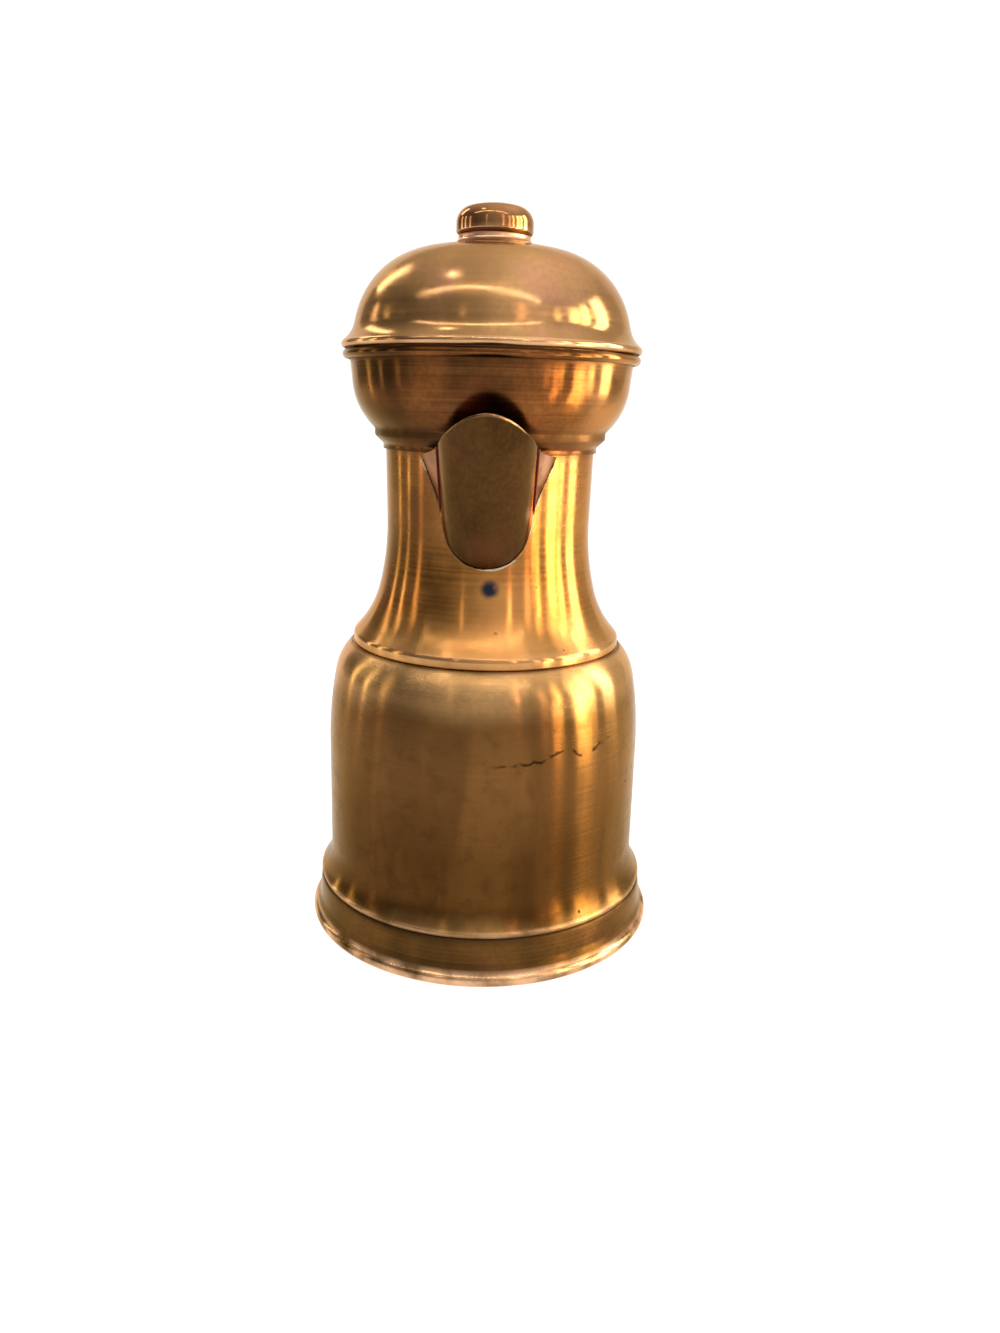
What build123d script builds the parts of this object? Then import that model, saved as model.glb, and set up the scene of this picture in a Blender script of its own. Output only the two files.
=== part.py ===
from build123d import *
from math import acos, asin, atan2, cos, degrees, hypot, radians, sin, sqrt, tan
import os

# A lidded pitcher of spun and hammered copper: foot band, body, neck and head soldered on one axis,
# a folded pouring spout on the neck, a riveted strap handle and a hinged lid with a hollow knob.
# Millimetres, +Z up, the axis of the body at x = y = 0 and the floor at z = 0. The spout points to -Y.

# Copper sheet, and the clearances of everything that fits
SHEET = 1.1  # foot band, base, body, neck and head
LID_SHEET = 0.9
KNOB_SHEET = 0.8
SPOUT_SHEET = 1.0
SOLDER_GAP = 0.05  # between soldered or riveted pieces that lie on a curved wall
WIRE_GAP = 0.3  # round a wire inside its rolled edge
RIVET_GAP = 0.05
CURL_SLIT = 1.0  # left open where a rolled edge comes back to the wall

# Foot band: a hoop with a rolled and wired edge
FOOT_RIM_OUT = 4.4  # beyond the body's ridge
FOOT_BEAD_R = 3.2  # outside of the rolled edge
FOOT_FLAT = 0.15  # worn off under the rolled edge, where the pitcher stands
FOOT_BEAD_TOP = 62.0  # degrees up the bead where the hollow above it ends
FOOT_H = 21.8  # seam between foot band and body
FOOT_STEP = 0.1  # its top inside the ridge
FOOT_WAIST_OUT = 1.3  # beyond its top
FOOT_WAIST_Z = 11.0
FOOT_HOLLOW_R = 5.0
FOOT_CORNER_R = 1.5
SEAM_W = 9.7  # of the flanges at the seam, in from the ridge

# Base plate, dropped on the body's bottom flange
BASE_MARGIN = 2.6  # inside the ridge
BASE_FLAT_W = 13.1
BASE_RISE = 3.5  # of its raised middle

# Body: a ridge over the foot band, a hollow flare, the wall and a round shoulder. Heights from the seam
BODY_R = 76.5
RIDGE_OUT = 5.2
RIDGE_ROLL = 1.75
FLARE_H = 17.0
WALL_H = 70.0  # where the wall starts to lean in
UPPER_WALL_R = 180.0  # its first, gentle curve in section
UPPER_WALL_TURN = 11.5  # degrees
SHOULDER_R = 24.2
SEAT_ROUND = 1.6
BODY_COLLAR_IN = 3.6  # upright collar inside the neck's foot
BODY_COLLAR_H = 6.0

# Neck: a rolled foot on the shoulder, a hollow flare and a wall that leans out. Heights from its seat
NECK_FOOT_R = 64.4
NECK_FOOT_ROUND = 3.5
NECK_FOOT_EDGE = 1.3
NECK_FOOT_H = 3.4
GROOVE_W = 1.2  # between the neck's foot and the shoulder
NECK_R = 48.0  # at the narrowest place
NECK_WAIST_H = 56.9
NECK_HOLLOW_R = 120.0
NECK_HOLLOW_TURN = 15.0  # degrees below the narrowest place
NECK_LEAN = 1.0  # degrees
NECK_H = 96.9

# Head: a skirt over the neck's top, a stepped collar and a bowl with a rolled and wired rim
SKIRT_LAP = 6.0
SKIRT_H = 2.2
COLLAR_IN = 1.2  # the collar's corner inside and below the bowl's lower end
COLLAR_DROP = 4.3
COLLAR_STEP = 1.6  # from the collar's step to the bowl, along the bowl's slope
COLLAR_ROUND = 1.6
BOWL_CURVE_R = 30.0
BOWL_DOWN = 45.5  # degrees down to its lower end
BOWL_LEAN = 5.5  # degrees that its wall leans out
BOWL_WALL_H = 12.5
RIM_OUT = 20.0  # beyond the neck's narrowest place
RIM_H = 35.0  # above the neck's top
RIM_BEAD_R = 2.1

# Lid: a rolled and wired edge, a hollow flare, a leaning wall, a round shoulder and a flat crown
LID_GAP = 0.35  # between the closed lid and the rim
LID_OVERHANG = 0.4  # over the rim's edge
LID_BEAD_R = 1.9
LID_WALL_IN = 5.6  # inside its edge
LID_WALL_UP = 8.65  # above the middle of its rolled edge
LID_WALL_H = 4.5
LID_LEAN = 14.5  # degrees that the wall leans in
LID_SHOULDER_R = 38.5
LID_CROWN_R = 150.0
BEZEL_GAP = 0.5  # round the sleeve that centres the lid in the rim
BEZEL_DROP = 5.5  # below the rim's top

# Knob: a flared collar on the crown and a hollow cap on the collar
KNOB_COLLAR_R = 16.2
KNOB_FLARE_R = 2.0
KNOB_FLARE_TURN = 80.0  # degrees
KNOB_COLLAR_H = 1.4  # of its upright wall
KNOB_SEAM_W = 3.7  # of its flange under the cap
KNOB_OUT = 1.1  # of the cap beyond the collar
KNOB_EDGE_R = 1.9
KNOB_H = 16.5  # above the crown
KNOB_SHOULDER_R = 7.0
KNOB_CROWN_R = 45.0

# Spout: a folded sheet, open at the top, soldered over a window in the neck
SPOUT_FOOT_DOWN = 15.0  # where its front leaves the neck, below the neck's narrowest place
SPOUT_ROOT = 8.0  # the sheet starts so far below that and is trimmed to the neck
SPOUT_LEAN = 30.0  # degrees of its front from upright
SPOUT_FRONT_R = 18.8
SPOUT_FOLD_R = 3.0
SPOUT_FOLD_X = 15.6  # of the folds, at the foot
SPOUT_TAPER = 1.0 / 18.0  # the folds spread so much for each millimetre of height
SPOUT_FLARE = 22.0  # degrees of its sides from straight back
LIP_TIP_UP = 17.4  # of the top edge at the tip, above the head's skirt
LIP_FOLD_BACK = 13.0  # from the tip to the folds
LIP_FOLD_DROP = 7.8
LIP_NECK_IN = 7.0  # where the top edge ends, inside the neck's wall and below the skirt
LIP_NECK_DROP = 0.4
LIP_TRIM = 5.0  # sheet trimmed off above the top edge

# Window in the neck behind the spout, with an arched top
POUR_WINDOW_W = 20.0
POUR_WINDOW_UP = 11.0  # above the spout's foot
POUR_WINDOW_H = 32.0

# Handle: a forged strap, riveted on the bowl and on the body
STRAP_W = 22.0
STRAP_T = 4.2
STRAP_EDGE = 1.3
STRAP_SADDLE = 1.2  # hollowed out over the bowl
STRAP_BOWL_DOWN = 21.0  # degrees down the bowl's curve that the upper end touches
STRAP_BOWL_END = 9.0  # the strap goes on so far below that
STRAP_TOP_DROP = 10.0  # below the rim
STRAP_TOP_RUN = 0.7  # of the level run left behind the hinge's bracket
STRAP_DROP = 72.0  # of its upright run
STRAP_KNEE_UP = 14.0  # the knee above the run on the body
STRAP_KNEE_SHARE = 0.525  # of the way out from the body to the upright run
STRAP_BODY_RUN = 28.0
STRAP_END_DROP = 13.0  # below the place where the body's wall starts to lean in
STRAP_TOP_BEND = 25.0
STRAP_OTHER_BENDS = (5.0, 90.0, 24.0, 8.0)

# Hinge
HINGE_GAP = 1.6  # between the knuckle and the lid's edge
PIN_R = 2.2
PIN_PLAY = 0.06  # round the pin in the lid's knuckle
PIN_FIT = 0.03  # round the pin in the bracket's lugs
PIN_HEAD_R = 3.5
PIN_HEAD_H = 1.5
KNUCKLE_R = 4.4
KNUCKLE_W = 8.0
LUG_GAP = 0.25  # on each side of the knuckle
LUG_T = 2.6
LUG_BACK = 6.5  # of the lugs' foot behind the pin
BRACKET_T = 2.0
BRACKET_W = 17.0
BRACKET_FRONT = 4.0
BRACKET_BACK = 15.5
LEAF_T = 2.2
LEAF_W = 15.0
LEAF_TURN = 22.0  # degrees that the leaf runs up the lid's shoulder
LEAF_OVER_BEAD = 0.5
LEAF_INNER_BEND = 0.5

# Rivets
RIVET_R = 1.6
RIVET_HEAD_R = 3.2
RIVET_HEAD_H = 1.5
RIVET_TAIL_R = 2.6
RIVET_TAIL_H = 1.0
TAIL_GAP = 0.6  # between a tail's flat face and the curved wall inside
BOWL_RIVETS_UP = (4.2, 12.0)  # from the strap's upper end
BODY_RIVETS_UP = (7.0, 18.0)  # from the strap's lower end
LEAF_RIVET_TURNS = (4.5, 16.0)  # degrees up the shoulder from the lid's wall
BRACKET_RIVET_X = 4.7
BRACKET_RIVET_BACK = 11.2  # behind the pin


def polar(centre, radius, angle):
    """The point at an angle in degrees on a circle in the plane of a section."""
    return centre[0] + radius * cos(radians(angle)), centre[1] + radius * sin(radians(angle))


def cove(edge, roll, end, lean):
    """The hollow stretch from a round edge up to the foot of a wall whose face looks up by the lean."""
    away = end[0] - edge[0], end[1] - edge[1]
    along = away[0] * cos(radians(lean)) + away[1] * sin(radians(lean))
    radius = (away[0] ** 2 + away[1] ** 2 - roll**2) / (2 * (roll - along))
    centre = polar(end, radius, lean)
    return centre, radius, 180 + degrees(atan2(centre[1] - edge[1], centre[0] - edge[0])), 180 + lean


def crown_meets(shoulder, shoulder_r, crown_r):
    """The height of a crown's centre on the axis, and the angle where the crown touches its shoulder."""
    down = sqrt((crown_r - shoulder_r) ** 2 - shoulder[0] ** 2)
    return shoulder[1] - down, degrees(atan2(down, shoulder[0]))


def bend(before, corner, after, radius):
    """The round stretch (centre, radius, start and end angle) that turns a corner of a section."""
    into = atan2(corner[1] - before[1], corner[0] - before[0])
    out = atan2(after[1] - corner[1], after[0] - corner[0])
    turn = (degrees(out - into) + 180) % 360 - 180
    back = radius * tan(radians(abs(turn)) / 2)
    side = 1 if turn > 0 else -1
    start = corner[0] - back * cos(into), corner[1] - back * sin(into)
    centre = start[0] - side * radius * sin(into), start[1] + side * radius * cos(into)
    first = degrees(into) - side * 90
    return centre, radius, first, first + turn


def surface(stretches, aside=0.0):
    """The corner points and round stretches of one surface of a section, moved aside to its left.

    A section starts and ends with a point or a round stretch, and straight stretches join what it lists.
    """
    moved = []
    for number, stretch in enumerate(stretches):
        if len(stretch) == 4:
            centre, radius, start, end = stretch
            radius += -aside if end > start else aside
            moved.append([polar(centre, radius, a) for a in (start, (start + end) / 2, end)])
        else:
            other = stretches[1] if number == 0 else stretches[-2]
            if len(other) == 4:
                other = polar(other[0], other[1], other[2] if number == 0 else other[3])
            way = 1 if number == 0 else -1
            along = way * (other[0] - stretch[0]), way * (other[1] - stretch[1])
            length = hypot(*along)
            moved.append([(stretch[0] - aside * along[1] / length, stretch[1] + aside * along[0] / length)])
    return moved


def edges_along(points):
    """The edges through a list of corner points and three-point arcs, closed back to its start."""
    edges, last = [], points[-1][-1]
    for stretch in points:
        if hypot(stretch[0][0] - last[0], stretch[0][1] - last[1]) > 1e-5:
            edges.append(Line((last[0], 0, last[1]), (stretch[0][0], 0, stretch[0][1])))
        if len(stretch) == 3:
            edges.append(ThreePointArc(*((r, 0, z) for r, z in stretch)))
        last = stretch[-1]
    return edges


def spin(points):
    """The solid that a closed section in the x-z plane makes round the axis."""
    return revolve(make_face(edges_along(points)), Axis.Z)


def spun_sheet(stretches, thickness):
    """A spun piece of sheet: the section's outline is its outer surface, and the sheet lies to its left."""
    inner = [list(reversed(points)) for points in reversed(surface(stretches, thickness))]
    return spin(surface(stretches) + inner)


def envelope(stretches, gap):
    """Everything inside an outer surface that is listed from the bottom up, and a gap outside it."""
    outer = surface(stretches, -gap)
    return spin(outer + [[(0.0, outer[-1][-1][1])], [(0.0, outer[0][0][1])]])


def side_face(outline):
    """A face in the y-z plane from a closed outline of edges in y and z."""
    return Plane.YZ * make_face(outline)


# Sections that more than one piece needs, each listed from the bottom up along its outer surface
RIDGE_R = BODY_R + RIDGE_OUT
RIDGE = (RIDGE_R - RIDGE_ROLL, FOOT_H + RIDGE_ROLL)
FLARE = cove(RIDGE, RIDGE_ROLL, (BODY_R, FOOT_H + FLARE_H), 0)
UPPER_WALL = (BODY_R - UPPER_WALL_R, FOOT_H + WALL_H)
SHOULDER = polar(UPPER_WALL, UPPER_WALL_R - SHOULDER_R, UPPER_WALL_TURN)
SHOULDER_END = degrees(acos((NECK_FOOT_R + GROOVE_W - SHOULDER[0]) / SHOULDER_R))
SHOULDER_EDGE = polar(SHOULDER, SHOULDER_R, SHOULDER_END)
SEAT = polar(SHOULDER_EDGE, SEAT_ROUND * tan(radians(90 - SHOULDER_END) / 2), SHOULDER_END + 90)
SEAT_Z = SEAT[1]
SEAM_IN_R = RIDGE_R - SEAM_W
FOOT_BEAD = (RIDGE_R + FOOT_RIM_OUT - FOOT_BEAD_R, FOOT_BEAD_R - FOOT_FLAT)
BODY_COLLAR_R = NECK_FOOT_R - BODY_COLLAR_IN

BODY_WALL = [
    (RIDGE, RIDGE_ROLL, -90, FLARE[2] - 180),
    FLARE,
    (UPPER_WALL, UPPER_WALL_R, 0, UPPER_WALL_TURN),
    (SHOULDER, SHOULDER_R, UPPER_WALL_TURN, SHOULDER_END),
]

NECK_FOOT = (NECK_FOOT_R - NECK_FOOT_ROUND, SEAT_Z + NECK_FOOT_H)
NECK_HOLLOW = (NECK_R + NECK_HOLLOW_R, SEAT_Z + NECK_WAIST_H)
NECK_HOLLOW_FOOT = polar(NECK_HOLLOW, NECK_HOLLOW_R, 180 + NECK_HOLLOW_TURN)
NECK_FLARE = cove(NECK_FOOT, NECK_FOOT_ROUND, NECK_HOLLOW_FOOT, NECK_HOLLOW_TURN)
NECK_WALL_START = polar(NECK_HOLLOW, NECK_HOLLOW_R, 180 - NECK_LEAN)
NECK_TOP_Z = SEAT_Z + NECK_H
NECK_TOP = (NECK_WALL_START[0] + (NECK_TOP_Z - NECK_WALL_START[1]) * tan(radians(NECK_LEAN)), NECK_TOP_Z)

NECK_WALL = [
    (NECK_FOOT, NECK_FOOT_ROUND, 0, NECK_FLARE[2] - 180),
    NECK_FLARE,
    (NECK_HOLLOW, NECK_HOLLOW_R, 180 + NECK_HOLLOW_TURN, 180 - NECK_LEAN),
    NECK_TOP,
]

SKIRT_R = NECK_TOP[0] + SOLDER_GAP + SHEET
SKIRT_FOOT = (SKIRT_R, NECK_TOP_Z - SKIRT_LAP)
SKIRT_TOP = (SKIRT_R, SKIRT_FOOT[1] + SKIRT_H)
RIM_R = NECK_R + RIM_OUT
RIM_Z = NECK_TOP_Z + RIM_H
RIM_BEAD = (RIM_R - RIM_BEAD_R, RIM_Z)
BOWL_WALL_TOP = polar(RIM_BEAD, RIM_BEAD_R - SHEET, 180 - BOWL_LEAN)
BOWL_WALL_FOOT = polar(BOWL_WALL_TOP, BOWL_WALL_H, -90 - BOWL_LEAN)
BOWL = polar(BOWL_WALL_FOOT, BOWL_CURVE_R, 180 - BOWL_LEAN)
BOWL_START = polar(BOWL, BOWL_CURVE_R, -BOWL_DOWN)
COLLAR_TOP = polar(BOWL_START, COLLAR_STEP, -BOWL_DOWN - 90)
COLLAR = (BOWL_START[0] - COLLAR_IN, BOWL_START[1] - COLLAR_DROP)

HEAD_WALL = [
    SKIRT_FOOT,
    bend(SKIRT_FOOT, SKIRT_TOP, COLLAR, COLLAR_ROUND),
    bend(SKIRT_TOP, COLLAR, COLLAR_TOP, COLLAR_ROUND),
    bend(COLLAR, COLLAR_TOP, BOWL_START, COLLAR_ROUND),
    (BOWL, BOWL_CURVE_R, -BOWL_DOWN, -BOWL_LEAN),
]

LID_R = RIM_R + LID_OVERHANG
LID_BEAD = (LID_R - LID_BEAD_R, RIM_Z + RIM_BEAD_R + LID_GAP + LID_BEAD_R)
LID_WALL_FOOT = (LID_R - LID_WALL_IN, LID_BEAD[1] + LID_WALL_UP)
LID_COVE = cove(LID_BEAD, LID_BEAD_R, LID_WALL_FOOT, LID_LEAN)
LID_SHOULDER = polar(polar(LID_WALL_FOOT, LID_WALL_H, 90 + LID_LEAN), LID_SHOULDER_R, 180 + LID_LEAN)
LID_CROWN_Z, LID_CROWN_MEETS = crown_meets(LID_SHOULDER, LID_SHOULDER_R, LID_CROWN_R)
LID_TOP_Z = LID_CROWN_Z + LID_CROWN_R

KNOB_FLARE_FOOT_R = KNOB_COLLAR_R + KNOB_FLARE_R * (1 - cos(radians(KNOB_FLARE_TURN)))
KNOB_FOOT_IN_R = KNOB_FLARE_FOOT_R - KNOB_SHEET * cos(radians(KNOB_FLARE_TURN))
KNOB_FOOT_Z = LID_CROWN_Z + sqrt(LID_CROWN_R**2 - KNOB_FOOT_IN_R**2) + SOLDER_GAP
KNOB_FLARE_Z = KNOB_FOOT_Z + (KNOB_FLARE_R + KNOB_SHEET) * sin(radians(KNOB_FLARE_TURN))
KNOB_SEAM = (KNOB_COLLAR_R - KNOB_SEAM_W, KNOB_FLARE_Z + KNOB_COLLAR_H)

SPOUT_FOOT_Z = NECK_HOLLOW[1] - SPOUT_FOOT_DOWN
SPOUT_FOOT_Y = sqrt(NECK_HOLLOW_R**2 - SPOUT_FOOT_DOWN**2) - NECK_HOLLOW[0]

BOWL_RUN_TURN = 90 - STRAP_BOWL_DOWN
BOWL_RUN = polar(BOWL, BOWL_CURVE_R - STRAP_SADDLE + STRAP_T / 2, -STRAP_BOWL_DOWN)
STRAP_BOWL = polar(BOWL_RUN, -STRAP_BOWL_END, BOWL_RUN_TURN)
STRAP_TOP_Z = RIM_Z - STRAP_TOP_DROP
STRAP_WALL_Y = BODY_R + SOLDER_GAP + STRAP_T / 2
STRAP_END_Z = FOOT_H + WALL_H - STRAP_END_DROP

LEAF_Z = LID_BEAD[1] + LID_BEAD_R + LEAF_OVER_BEAD
PIN_Y = LID_R + HINGE_GAP + KNUCKLE_R
PIN_Z = LEAF_Z + LEAF_T - KNUCKLE_R


def foot_band():
    top = polar(FOOT_BEAD, FOOT_BEAD_R, FOOT_BEAD_TOP)
    corner = (RIDGE_R - FOOT_STEP, FOOT_H)
    waist = (corner[0] + FOOT_WAIST_OUT, FOOT_WAIST_Z)
    curl = degrees(CURL_SLIT / FOOT_BEAD_R)
    hoop = spun_sheet(
        [
            (FOOT_BEAD, FOOT_BEAD_R, FOOT_BEAD_TOP - 270 + curl, FOOT_BEAD_TOP),
            bend(top, waist, corner, FOOT_HOLLOW_R),
            bend(waist, corner, (SEAM_IN_R, FOOT_H), FOOT_CORNER_R),
            (SEAM_IN_R, FOOT_H),
        ],
        SHEET,
    )
    return hoop - Pos(0, 0, -FOOT_BEAD_R) * Cylinder(2 * RIDGE_R, 2 * FOOT_BEAD_R)


def ring_wire(centre, radius):
    """A round wire inside a rolled edge."""
    return Pos(0, 0, centre[1]) * Torus(centre[0], radius)


def foot_wire():
    return ring_wire(FOOT_BEAD, FOOT_BEAD_R - SHEET - WIRE_GAP)


def rim_wire():
    return ring_wire(RIM_BEAD, RIM_BEAD_R - SHEET - WIRE_GAP)


def lid_wire():
    return ring_wire(LID_BEAD, LID_BEAD_R - LID_SHEET - WIRE_GAP)


def base_plate():
    under = FOOT_H + SHEET
    edge_r = RIDGE_R - BASE_MARGIN
    flat_r = edge_r - BASE_FLAT_W
    dome_r = (flat_r**2 + BASE_RISE**2) / (2 * BASE_RISE)
    rim_angle = degrees(acos(flat_r / dome_r))
    return spun_sheet([((0.0, under + BASE_RISE - dome_r), dome_r, 90, rim_angle), (edge_r, under)], SHEET)


def body_shell():
    collar_foot = (BODY_COLLAR_R, SEAT_Z)
    collar_top = (BODY_COLLAR_R, SEAT_Z + BODY_COLLAR_H)
    return spun_sheet(
        [
            (SEAM_IN_R, FOOT_H),
            *BODY_WALL,
            bend(SHOULDER_EDGE, SEAT, collar_foot, SEAT_ROUND),
            bend(SEAT, collar_foot, collar_top, SHEET),
            collar_top,
        ],
        SHEET,
    )


def neck_shell():
    inner_edge = (BODY_COLLAR_R + SHEET, SEAT_Z)
    foot_edge = (NECK_FOOT_R, SEAT_Z)
    above = (NECK_FOOT_R, NECK_FOOT[1])
    shell = spun_sheet([inner_edge, bend(inner_edge, foot_edge, above, NECK_FOOT_EDGE), *NECK_WALL], SHEET)
    arch_r = POUR_WINDOW_W / 2
    sill_z = SPOUT_FOOT_Z + POUR_WINDOW_UP
    jamb_h = POUR_WINDOW_H - arch_r
    window = Pos(0, sill_z + jamb_h / 2) * Rectangle(POUR_WINDOW_W, jamb_h)
    window += Pos(0, sill_z + jamb_h) * Circle(arch_r)
    return shell - extrude(Plane.XZ * window, amount=2 * NECK_R)


def head_bowl():
    curl_end = -90 - degrees(CURL_SLIT / RIM_BEAD_R) / 2
    return spun_sheet([*HEAD_WALL, (RIM_BEAD, RIM_BEAD_R - SHEET, 180 - BOWL_LEAN, curl_end)], SHEET)


def lid_shell():
    return spun_sheet(
        [
            (LID_BEAD, LID_BEAD_R, -180, LID_COVE[2] - 180),
            LID_COVE,
            (LID_SHOULDER, LID_SHOULDER_R, LID_LEAN, LID_CROWN_MEETS),
            ((0.0, LID_CROWN_Z), LID_CROWN_R, LID_CROWN_MEETS, 90),
        ],
        LID_SHEET,
    )


def lid_bezel():
    """The sleeve under the lid that drops inside the rim."""
    outer_r = RIM_R - 2 * RIM_BEAD_R - BEZEL_DROP * tan(radians(BOWL_LEAN)) - BEZEL_GAP
    centre, cove_r, _, _ = LID_COVE
    top = centre[1] - sqrt((cove_r + LID_SHEET + SOLDER_GAP) ** 2 - (centre[0] - outer_r) ** 2)
    height = top - (RIM_Z + RIM_BEAD_R - BEZEL_DROP)
    ring = Cylinder(outer_r, height) - Cylinder(outer_r - LID_SHEET, height)
    return Pos(0, 0, top - height / 2) * ring


def knob_collar():
    flare = (KNOB_COLLAR_R + KNOB_FLARE_R, KNOB_FLARE_Z)
    wall_foot = (KNOB_COLLAR_R, KNOB_FLARE_Z)
    corner = (KNOB_COLLAR_R, KNOB_SEAM[1])
    return spun_sheet(
        [
            (flare, KNOB_FLARE_R, 180 + KNOB_FLARE_TURN, 180),
            bend(wall_foot, corner, KNOB_SEAM, KNOB_SHEET + SOLDER_GAP),
            KNOB_SEAM,
        ],
        KNOB_SHEET,
    )


def knob_cap():
    cap_r = KNOB_COLLAR_R + KNOB_OUT
    inset = cap_r - KNOB_SHOULDER_R
    down = KNOB_CROWN_R - sqrt((KNOB_CROWN_R - KNOB_SHOULDER_R) ** 2 - inset**2)
    shoulder = (inset, LID_TOP_Z + KNOB_H - down)
    crown_z, meets = crown_meets(shoulder, KNOB_SHOULDER_R, KNOB_CROWN_R)
    corner = (cap_r, KNOB_SEAM[1])
    return spun_sheet(
        [
            KNOB_SEAM,
            bend(KNOB_SEAM, corner, (cap_r, shoulder[1]), KNOB_EDGE_R),
            (shoulder, KNOB_SHOULDER_R, 0, meets),
            ((0.0, crown_z), KNOB_CROWN_R, meets, 90),
        ],
        KNOB_SHEET,
    )


def spout_front_y(height):
    """How far forward the middle of the spout's front lies at a height."""
    return SPOUT_FOOT_Y - (height - SPOUT_FOOT_Z) * tan(radians(SPOUT_LEAN))


def spout_section(height, inset):
    """A level section of the spout's trough, open to the neck and closed behind, inset by the sheet."""
    spread = (height - SPOUT_FOOT_Z) * SPOUT_TAPER
    front_y = spout_front_y(height) + inset
    fold_x = SPOUT_FOLD_X + spread - inset
    front_r = SPOUT_FRONT_R + spread - inset
    fold_y = front_y + front_r - sqrt(front_r**2 - fold_x**2)
    back_x = fold_x - fold_y * tan(radians(SPOUT_FLARE))
    outline = [
        ThreePointArc((-fold_x, fold_y), (0, front_y), (fold_x, fold_y)),
        Polyline((fold_x, fold_y), (back_x, 0), (-back_x, 0), (-fold_x, fold_y)),
    ]
    face = make_face(outline)
    folds = face.vertices().sort_by(Axis.Y)[:2]
    return Pos(0, 0, height) * fillet(folds, SPOUT_FOLD_R - inset)


def spout():
    tip_z = SKIRT_FOOT[1] + LIP_TIP_UP
    tip = (spout_front_y(tip_z), tip_z)
    fold = (tip[0] + LIP_FOLD_BACK, tip_z - LIP_FOLD_DROP)
    root = (LIP_NECK_IN - NECK_R, SKIRT_FOOT[1] - LIP_NECK_DROP)
    low = SPOUT_FOOT_Z - SPOUT_ROOT
    high = tip_z + LIP_TRIM
    outer = loft([spout_section(low, 0), spout_section(high, 0)], ruled=True)
    inner = loft([spout_section(low, SPOUT_SHEET), spout_section(high, SPOUT_SHEET)], ruled=True)
    trim = Polyline(root, (0, root[1]), (0, 2 * high), (2 * tip[0], 2 * high), (2 * tip[0], tip_z), tip)
    above = side_face([ThreePointArc(tip, fold, root), trim])
    trough = outer - inner - extrude(above, amount=2 * NECK_R, both=True)
    behind = Pos(0, NECK_R, SPOUT_FOOT_Z) * Box(4 * NECK_R, 2 * NECK_R, 4 * NECK_R)
    return trough - behind - envelope(NECK_WALL, SOLDER_GAP) - envelope(HEAD_WALL, SOLDER_GAP)


def rivet(grip):
    """A rivet along +Z: its head on the plane z = 0, its tail below the grip."""
    head = (RIVET_HEAD_R**2 + RIVET_HEAD_H**2) / (2 * RIVET_HEAD_H)
    dome = Pos(0, 0, RIVET_HEAD_H - head) * Sphere(head)
    dome &= Pos(0, 0, RIVET_HEAD_H) * Box(4 * head, 4 * head, 2 * RIVET_HEAD_H)
    shank = Pos(0, 0, -grip / 2) * Cylinder(RIVET_R, grip)
    tail = Pos(0, 0, -grip - RIVET_TAIL_H / 2) * Cylinder(RIVET_TAIL_R, RIVET_TAIL_H)
    return dome + shank + tail


def rivet_hole(grip):
    return Pos(0, 0, -grip / 2) * Cylinder(RIVET_R + RIVET_GAP, grip + 2 * RIVET_HEAD_R)


def facing(x, y, z, up):
    """A place on a piece behind the axis whose +Z looks out, the angle up above +Y."""
    return Location(Plane(origin=(x, y, z), x_dir=(1, 0, 0), z_dir=(0, cos(radians(up)), sin(radians(up)))))


def bowl_rivets():
    """Each rivet of the strap's upper end: where its head seats and how much it grips."""
    out = cos(radians(STRAP_BOWL_DOWN)), -sin(radians(STRAP_BOWL_DOWN))
    places = []
    for up in BOWL_RIVETS_UP:
        seat = polar(polar(STRAP_BOWL, up, BOWL_RUN_TURN), STRAP_T / 2, -STRAP_BOWL_DOWN)
        off = (seat[0] - BOWL[0]) * out[0] + (seat[1] - BOWL[1]) * out[1]
        across = (seat[1] - BOWL[1]) * out[0] - (seat[0] - BOWL[0]) * out[1]
        grip = off - sqrt((BOWL_CURVE_R - SHEET) ** 2 - across**2) + TAIL_GAP
        places.append((facing(0, seat[0], seat[1], -STRAP_BOWL_DOWN), grip))
    return places


def body_rivets():
    """Each rivet of the strap's lower end."""
    grip = STRAP_T + SOLDER_GAP + SHEET + TAIL_GAP
    return [(facing(0, STRAP_WALL_Y + STRAP_T / 2, STRAP_END_Z + up, 0), grip) for up in BODY_RIVETS_UP]


def leaf_rivets():
    """Each rivet of the hinge's leaf on the lid's shoulder."""
    grip = LEAF_T + SOLDER_GAP + LID_SHEET + TAIL_GAP
    places = []
    for turn in LEAF_RIVET_TURNS:
        angle = LID_LEAN + turn
        seat = polar(LID_SHOULDER, LID_SHOULDER_R + SOLDER_GAP + LEAF_T, angle)
        places.append((facing(0, seat[0], seat[1], angle), grip))
    return places


def bracket_rivets():
    """Each rivet of the hinge's bracket, down through the strap."""
    top = STRAP_TOP_Z + STRAP_T / 2 + BRACKET_T
    y = PIN_Y + BRACKET_RIVET_BACK
    return [(Location((side * BRACKET_RIVET_X, y, top)), BRACKET_T + STRAP_T) for side in (-1, 1)]


def holes(places):
    return [place * rivet_hole(grip) for place, grip in places]


def rivets(places):
    return Compound(children=[place * rivet(grip) for place, grip in places])


def round_end(place):
    """What rounding takes off a strap: its end lies at the place, which looks along the strap."""
    half = STRAP_W / 2
    block = Pos(0, 0, -half / 2) * Box(2 * STRAP_W, STRAP_W, half)
    return place * (block - Pos(0, 0, -half) * Rot(90, 0, 0) * Cylinder(half, 2 * STRAP_W))


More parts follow.
